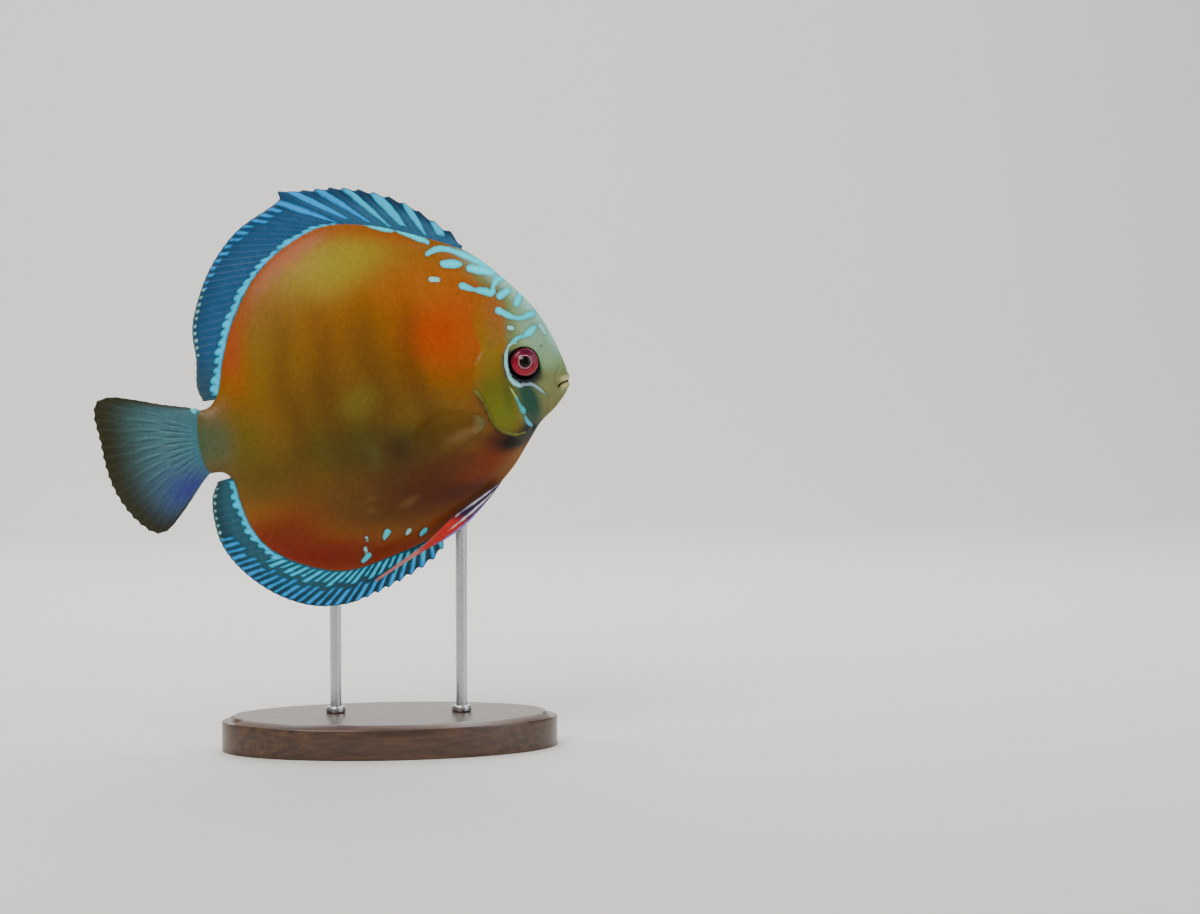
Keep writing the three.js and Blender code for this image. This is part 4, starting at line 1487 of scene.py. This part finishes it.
@dataclass
class Eye:
    """A flattened glass eye in its socket, with a lens that bulges out of the pupil."""

    radius: float = EYE_RADIUS + 0.15
    half_depth: float = 3.4
    proud: float = 1.35
    iris_off: tuple[float, float] = (0.3, 0.36)

    def build(self, side: Side, material: bpy.types.Material) -> None:
        """Models one eye from a sphere whose poles lie across the fish.

        Args:
            side: Which side of the head it is on.
            material: The glass.
        """
        deselect()
        bpy.ops.mesh.primitive_uv_sphere_add(segments=72, ring_count=44, radius=1, location=(0, 0, 0))
        piece = bpy.context.object
        bpy.ops.object.shade_smooth()
        raw = np.empty(len(piece.data.vertices) * 3)
        piece.data.vertices.foreach_get("co", raw)
        x, z, y = (raw.reshape(-1, 3) * (self.radius, self.radius, self.half_depth)).T
        front = rise(0, 1, y)
        lens = np.hypot(x - self.iris_off[0], z - self.iris_off[1])
        y = y * (1 - 0.12 * front) + front * (0.5 * rise(2.7, 1.2, lens) - 0.12 * bump(lens - 3, 0.5))
        place = FORM.half(np.array([EYE_X]), np.array([EYE_Z]))[0] + self.proud - self.half_depth
        level = np.column_stack([x + EYE_X, side.value * (y + place), z + EYE_Z])
        piece.data.vertices.foreach_set("co", POSE.to_row(level).ravel())
        piece.name = piece.data.name = f"eye_{side.name.lower()}_globe"
        if side is Side.LEFT:
            piece.data.flip_normals()
        piece.data.materials.append(material)
        # height rises toward the eye's upper front, where the glass is painted darker as shade.
        put_values(piece, from_axis=np.where(y > -0.5, lens, FAR), height=(z + 0.5 * x) / self.radius)
        settle(piece, "eye", f"eye_{side.name.lower()}")


@dataclass
class Stand:
    """The oval wooden base and the two steel rods with their collars."""

    length: float = 118
    width: float = 66
    thickness: float = 12
    insets: tuple[float, ...] = (3.2, 0.8, 0.6)
    step_down: float = 1.6
    rod_radius: float = 2
    rod_sunk: float = 6
    collar_wall: float = 1.5
    collar_height: float = 2.3
    rods: tuple[tuple[str, float, float, float], ...] = (("front", 25, 0, 84.5), ("rear", -19, 4.4, 79.5))

    @staticmethod
    def cylinder(x: float, y: float, bottom: float, top: float, radius: float,
                 sides: int = 48) -> bpy.types.Object:
        """Adds an upright cylinder.

        Args:
            x: Its axis along the base.
            y: Its axis across the base.
            bottom: The height of its lower end.
            top: The height of its upper end.
            radius: Its radius.
            sides: How many flat sides it has.

        Returns:
            The cylinder, which is the active object.
        """
        place = (x * MM, y * MM, (top + bottom) / 2 * MM)
        bpy.ops.mesh.primitive_cylinder_add(vertices=sides, radius=radius * MM, depth=(top - bottom) * MM,
                                            location=place)
        return bpy.context.object

    @staticmethod
    def round_edges(piece: bpy.types.Object, width: float, angle: float) -> None:
        """Rounds the active piece's edges that turn by more than an angle in degrees.

        Args:
            piece: The piece.
            width: How wide the rounding is, in millimetres.
            angle: The angle.
        """
        bevel = piece.modifiers.new("rounded edges", "BEVEL")
        bevel.width, bevel.segments, bevel.limit_method = width * MM, 4, "ANGLE"
        bevel.angle_limit = math.radians(angle)
        bpy.ops.object.modifier_apply(modifier=bevel.name)

    @staticmethod
    def finish(piece: bpy.types.Object, name: str, material: bpy.types.Material, smooth: float) -> None:
        """Names a piece, shades it smooth up to an angle in degrees and gives it its material.

        Args:
            piece: The active piece.
            name: Its name.
            material: Its finish.
            smooth: The angle.
        """
        bpy.ops.object.shade_smooth_by_angle(angle=math.radians(smooth))
        piece.name = piece.data.name = name
        piece.data.materials.append(material)

    def build_base(self, material: bpy.types.Material) -> None:
        """Turns a cylinder into an oval base with a stepped, rounded edge.

        Args:
            material: The wood.
        """
        deselect()
        piece = self.cylinder(0, 0, 0, self.thickness, 1, 144)
        piece.scale = (self.length / 2, self.width / 2, 1)
        bpy.ops.object.transform_apply(location=True, rotation=True, scale=True)
        bpy.ops.object.mode_set(mode="EDIT")
        bpy.ops.mesh.select_mode(type="FACE")
        work = bmesh.from_edit_mesh(piece.data)
        for face in work.faces:
            face.select = face.normal.z > 0.9
        bmesh.update_edit_mesh(piece.data)
        for inset in self.insets:
            bpy.ops.mesh.inset(thickness=inset * MM)
        bpy.ops.object.mode_set(mode="OBJECT")
        for vertex in piece.data.vertices:
            ring = math.hypot(vertex.co.x / (self.length / 2 * MM), vertex.co.y / (self.width / 2 * MM))
            if vertex.co.z > self.thickness * 0.9 * MM and ring > 0.94:
                vertex.co.z -= self.step_down * MM
        self.round_edges(piece, 0.9, 25)
        self.finish(piece, "stand_base_wood", material, 30)
        settle(piece, "stand_wood", "stand_base")

    def build_rods(self, material: bpy.types.Material) -> None:
        """Makes each rod with a rounded collar where it enters the base.

        Args:
            material: The steel.
        """
        for word, x, y, top in self.rods:
            deselect()
            rod = self.cylinder(x, y, self.thickness - self.rod_sunk, top, self.rod_radius)
            collar = self.cylinder(x, y, self.thickness - 0.1, self.thickness + self.collar_height,
                                   self.rod_radius + self.collar_wall)
            self.round_edges(collar, 0.7, 30)
            rod.select_set(True)
            bpy.context.view_layer.objects.active = rod
            bpy.ops.object.join()
            bpy.ops.object.transform_apply(location=True, rotation=True, scale=True)
            self.finish(rod, f"stand_rod_{word}_steel", material, 35)
            settle(rod, "stand_metal", f"stand_rod_{word}")


@dataclass
class Studio:
    """The floor, the soft lights and the camera."""

    frame_width: float = 1200
    frame_height: float = 914
    mm_per_pixel: float = 0.35
    disc_pixel: Point = (390, 400)
    azimuth: float = -10
    elevation: float = 2.5
    lens: float = 85
    sensor: float = 36
    sky: float = 0.35
    floor_front: float = -1.6
    floor_back: float = 1.1
    floor_bend: float = 0.5
    floor_top: float = 2.4
    floor_half: float = 3

    def build_floor(self) -> None:
        """Lays a pale floor that curves up behind into a backdrop."""
        back, bend, turns = self.floor_back, self.floor_bend, np.linspace(0, math.pi / 2, 14)[1:]
        profile = [(self.floor_front, 0.0), (back, 0.0)]
        profile += [(back + bend * math.sin(a), bend - bend * math.cos(a)) for a in turns]
        profile += [(back + bend, self.floor_top)]
        points = [(x, y, z) for y, z in profile for x in (-self.floor_half, self.floor_half)]
        faces = [(k, k + 1, k + 3, k + 2) for k in range(0, len(points) - 2, 2)]
        mesh = bpy.data.meshes.new("studio_floor")
        mesh.from_pydata(points, [], faces)
        mesh.shade_smooth()
        mesh.materials.append(Nodes("Matt backdrop paper").dress(Base_Color=rgba("#D9D8D4"), Roughness=0.85))
        show("studio_floor", mesh)

    def build_lights(self) -> None:
        """Hangs three soft boxes round the fish, one over the backdrop, and a pale sky."""
        fish, backdrop = Vector((0, 0, 0.12)), Vector((0.1, 1.7, 0.5))
        boxes = [
            ("key", (-0.5, -0.8, 1.0), fish, 0.7, 15, "#FFF6EA"),
            ("fill", (0.95, -0.65, 0.45), fish, 0.8, 5, "#EAF2FF"),
            ("back", (0.1, 0.75, 0.9), fish, 0.6, 5, "#FFFFFF"),
            ("backdrop", (0.1, 0.5, 1.5), backdrop, 1.6, 34, "#FFFFFF"),
        ]
        for name, place, target, size, power, colour in boxes:
            light = bpy.data.lights.new(f"{name}_light", "AREA")
            light.size, light.energy, light.color = size, power, linear(colour)
            box = show(f"{name}_light", light)
            box.location = place
            box.rotation_euler = (target - Vector(place)).to_track_quat("-Z", "Y").to_euler()
        world = bpy.data.worlds.new("studio")
        world.use_nodes = True
        sky = world.node_tree.nodes["Background"].inputs
        sky["Color"].default_value = rgba("#DDE2E6")
        sky["Strength"].default_value = self.sky
        bpy.context.scene.world = world

    def build_camera(self) -> None:
        """Sets the camera so that the disc's middle lands where the photograph has it."""
        data = bpy.data.cameras.new("camera")
        data.lens, data.sensor_width = self.lens, self.sensor
        data.clip_start, data.clip_end = 0.01, 20
        a, e = math.radians(self.azimuth), math.radians(self.elevation)
        back = Vector((math.sin(a) * math.cos(e), -math.cos(a) * math.cos(e), math.sin(e)))
        turn = (-back).to_track_quat("-Z", "Y")
        right, up = turn @ Vector((1, 0, 0)), turn @ Vector((0, 1, 0))
        pixel = self.mm_per_pixel * MM
        distance = self.lens * self.frame_width * pixel / self.sensor
        across = (self.frame_width / 2 - self.disc_pixel[0]) * pixel
        down = (self.frame_height / 2 - self.disc_pixel[1]) * pixel
        middle = Vector((0, 0, POSE.disc_height * MM))
        camera = show("camera", data)
        camera.location = middle + right * across - up * down + back * distance
        camera.rotation_mode = "QUATERNION"
        camera.rotation_quaternion = turn
        bpy.context.scene.camera = camera


DORSAL_EDGE = [(34.6, 48.6), (32.6, 53), (26.7, 58.6), (18.2, 66.2), (9.1, 71.5), (-4.4, 76),
               (-17.4, 77.2), (-23, 77.6), (-25.6, 78), (-25.6, 75.4), (-28.5, 73.6), (-41.9, 67.1),
               (-52.5, 57), (-59.3, 46.2), (-63.2, 36.1), (-63.8, 25.6), (-65.2, 16), (-64, 11)]
ANAL_EDGE = [(11, -49.7), (9.6, -54.3), (5, -58.2), (-7.3, -63.2), (-19.7, -66.6), (-29, -67.6),
             (-40, -65.8), (-51.6, -59.2), (-61.5, -48.9), (-66.6, -38.8), (-67.6, -30), (-66.8, -22.5),
             (-64, -17.2)]
TAIL_EDGE = [(-67.2, 9.4), (-78, 12.6), (-88, 16.2), (-95.4, 18.2), (-100, 17.2), (-101.6, 13), (-101.2, 4),
             (-100.9, -5), (-99.9, -12), (-97.6, -19), (-93.6, -26), (-88.4, -31), (-84.6, -31.2),
             (-78.4, -26.4), (-67.2, -14.6)]
PECTORAL_UPPER = [(30.6, -12.6), (29.2, -11), (25, -9.2), (20, -7.9), (14, -7.8), (8.4, -10.6),
                  (5.6, -14.4)]
PECTORAL_LOWER = [(30.4, -14), (28.6, -15.6), (24.6, -17.6), (20, -19.4), (14.4, -21.4), (9, -21.6),
                  (5.8, -18.4)]
PELVIC_UPPER = [(33.4, -35.2), (24, -39.4), (16.6, -42.6), (10.7, -46.2), (3, -51.2), (-7, -55.9),
                (-16.6, -60.2)]
PELVIC_LOWER = [(30, -38.6), (24.6, -43), (17.6, -47.9), (10.7, -51), (3, -53.4), (-7, -57.2),
                (-16.9, -61.2)]
DORSAL_ENDS = ((34.4, 47.7), (-59.4, 11.8))
ANAL_ENDS = ((10.4, -49.1), (-59.1, -16.9))


def build_fins() -> None:
    """Builds the three middle fins and the two pairs."""
    solid = FleshFinish("Lacquered fin skin", mottle=0.12, waver=0.24, edge_mm=0.34, rays=0.02).make()
    clear = FleshFinish("Clear fin skin", mottle=0.04, clear=True).make()
    DorsalFin("dorsal_fin", 42, 11, DORSAL_EDGE, DORSAL_ENDS, lag=0.55).build(solid)
    AnalFin("anal_fin", 36, 8, ANAL_EDGE, ANAL_ENDS, lag=0.4).build(solid)
    tail = TailFin("tail_fin", 34, 0, TAIL_EDGE, lag=0.0, rows=40, sunk=2.4, root_half=1.3, fringe=0.5,
                   rib=0.07)
    tail.build(solid)
    pectoral = PectoralFin("pectoral_fin", PECTORAL_UPPER, PECTORAL_LOWER, splay=5.4, power=1.3,
                           half=0.25, rays=12)
    pelvic = PelvicFin("pelvic_fin", PELVIC_UPPER, PELVIC_LOWER, splay=5, power=0.8, half=0.55, rays=6,
                       from_middle=2.4, columns=160)
    for side in Side:
        pectoral.build(side, clear, "clear_fin")
        pelvic.build(side, solid, "fin")


def main() -> None:
    """Builds the model in order."""
    logging.basicConfig(level=logging.INFO, format="%(name)s %(message)s")
    studio = Studio()
    studio.build_camera()
    studio.build_floor()
    studio.build_lights()
    lacquer = FleshFinish("Lacquered fish skin").make()
    body = Body()
    body.build_skin(lacquer)
    for side in Side:
        body.build_scales(side, lacquer)
    glass = EyeFinish().make()
    for side in Side:
        Eye().build(side, glass)
    build_fins()
    stand = Stand()
    stand.build_base(WalnutFinish().make())
    stand.build_rods(SteelFinish().make())


if __name__ == "__main__":
    main()
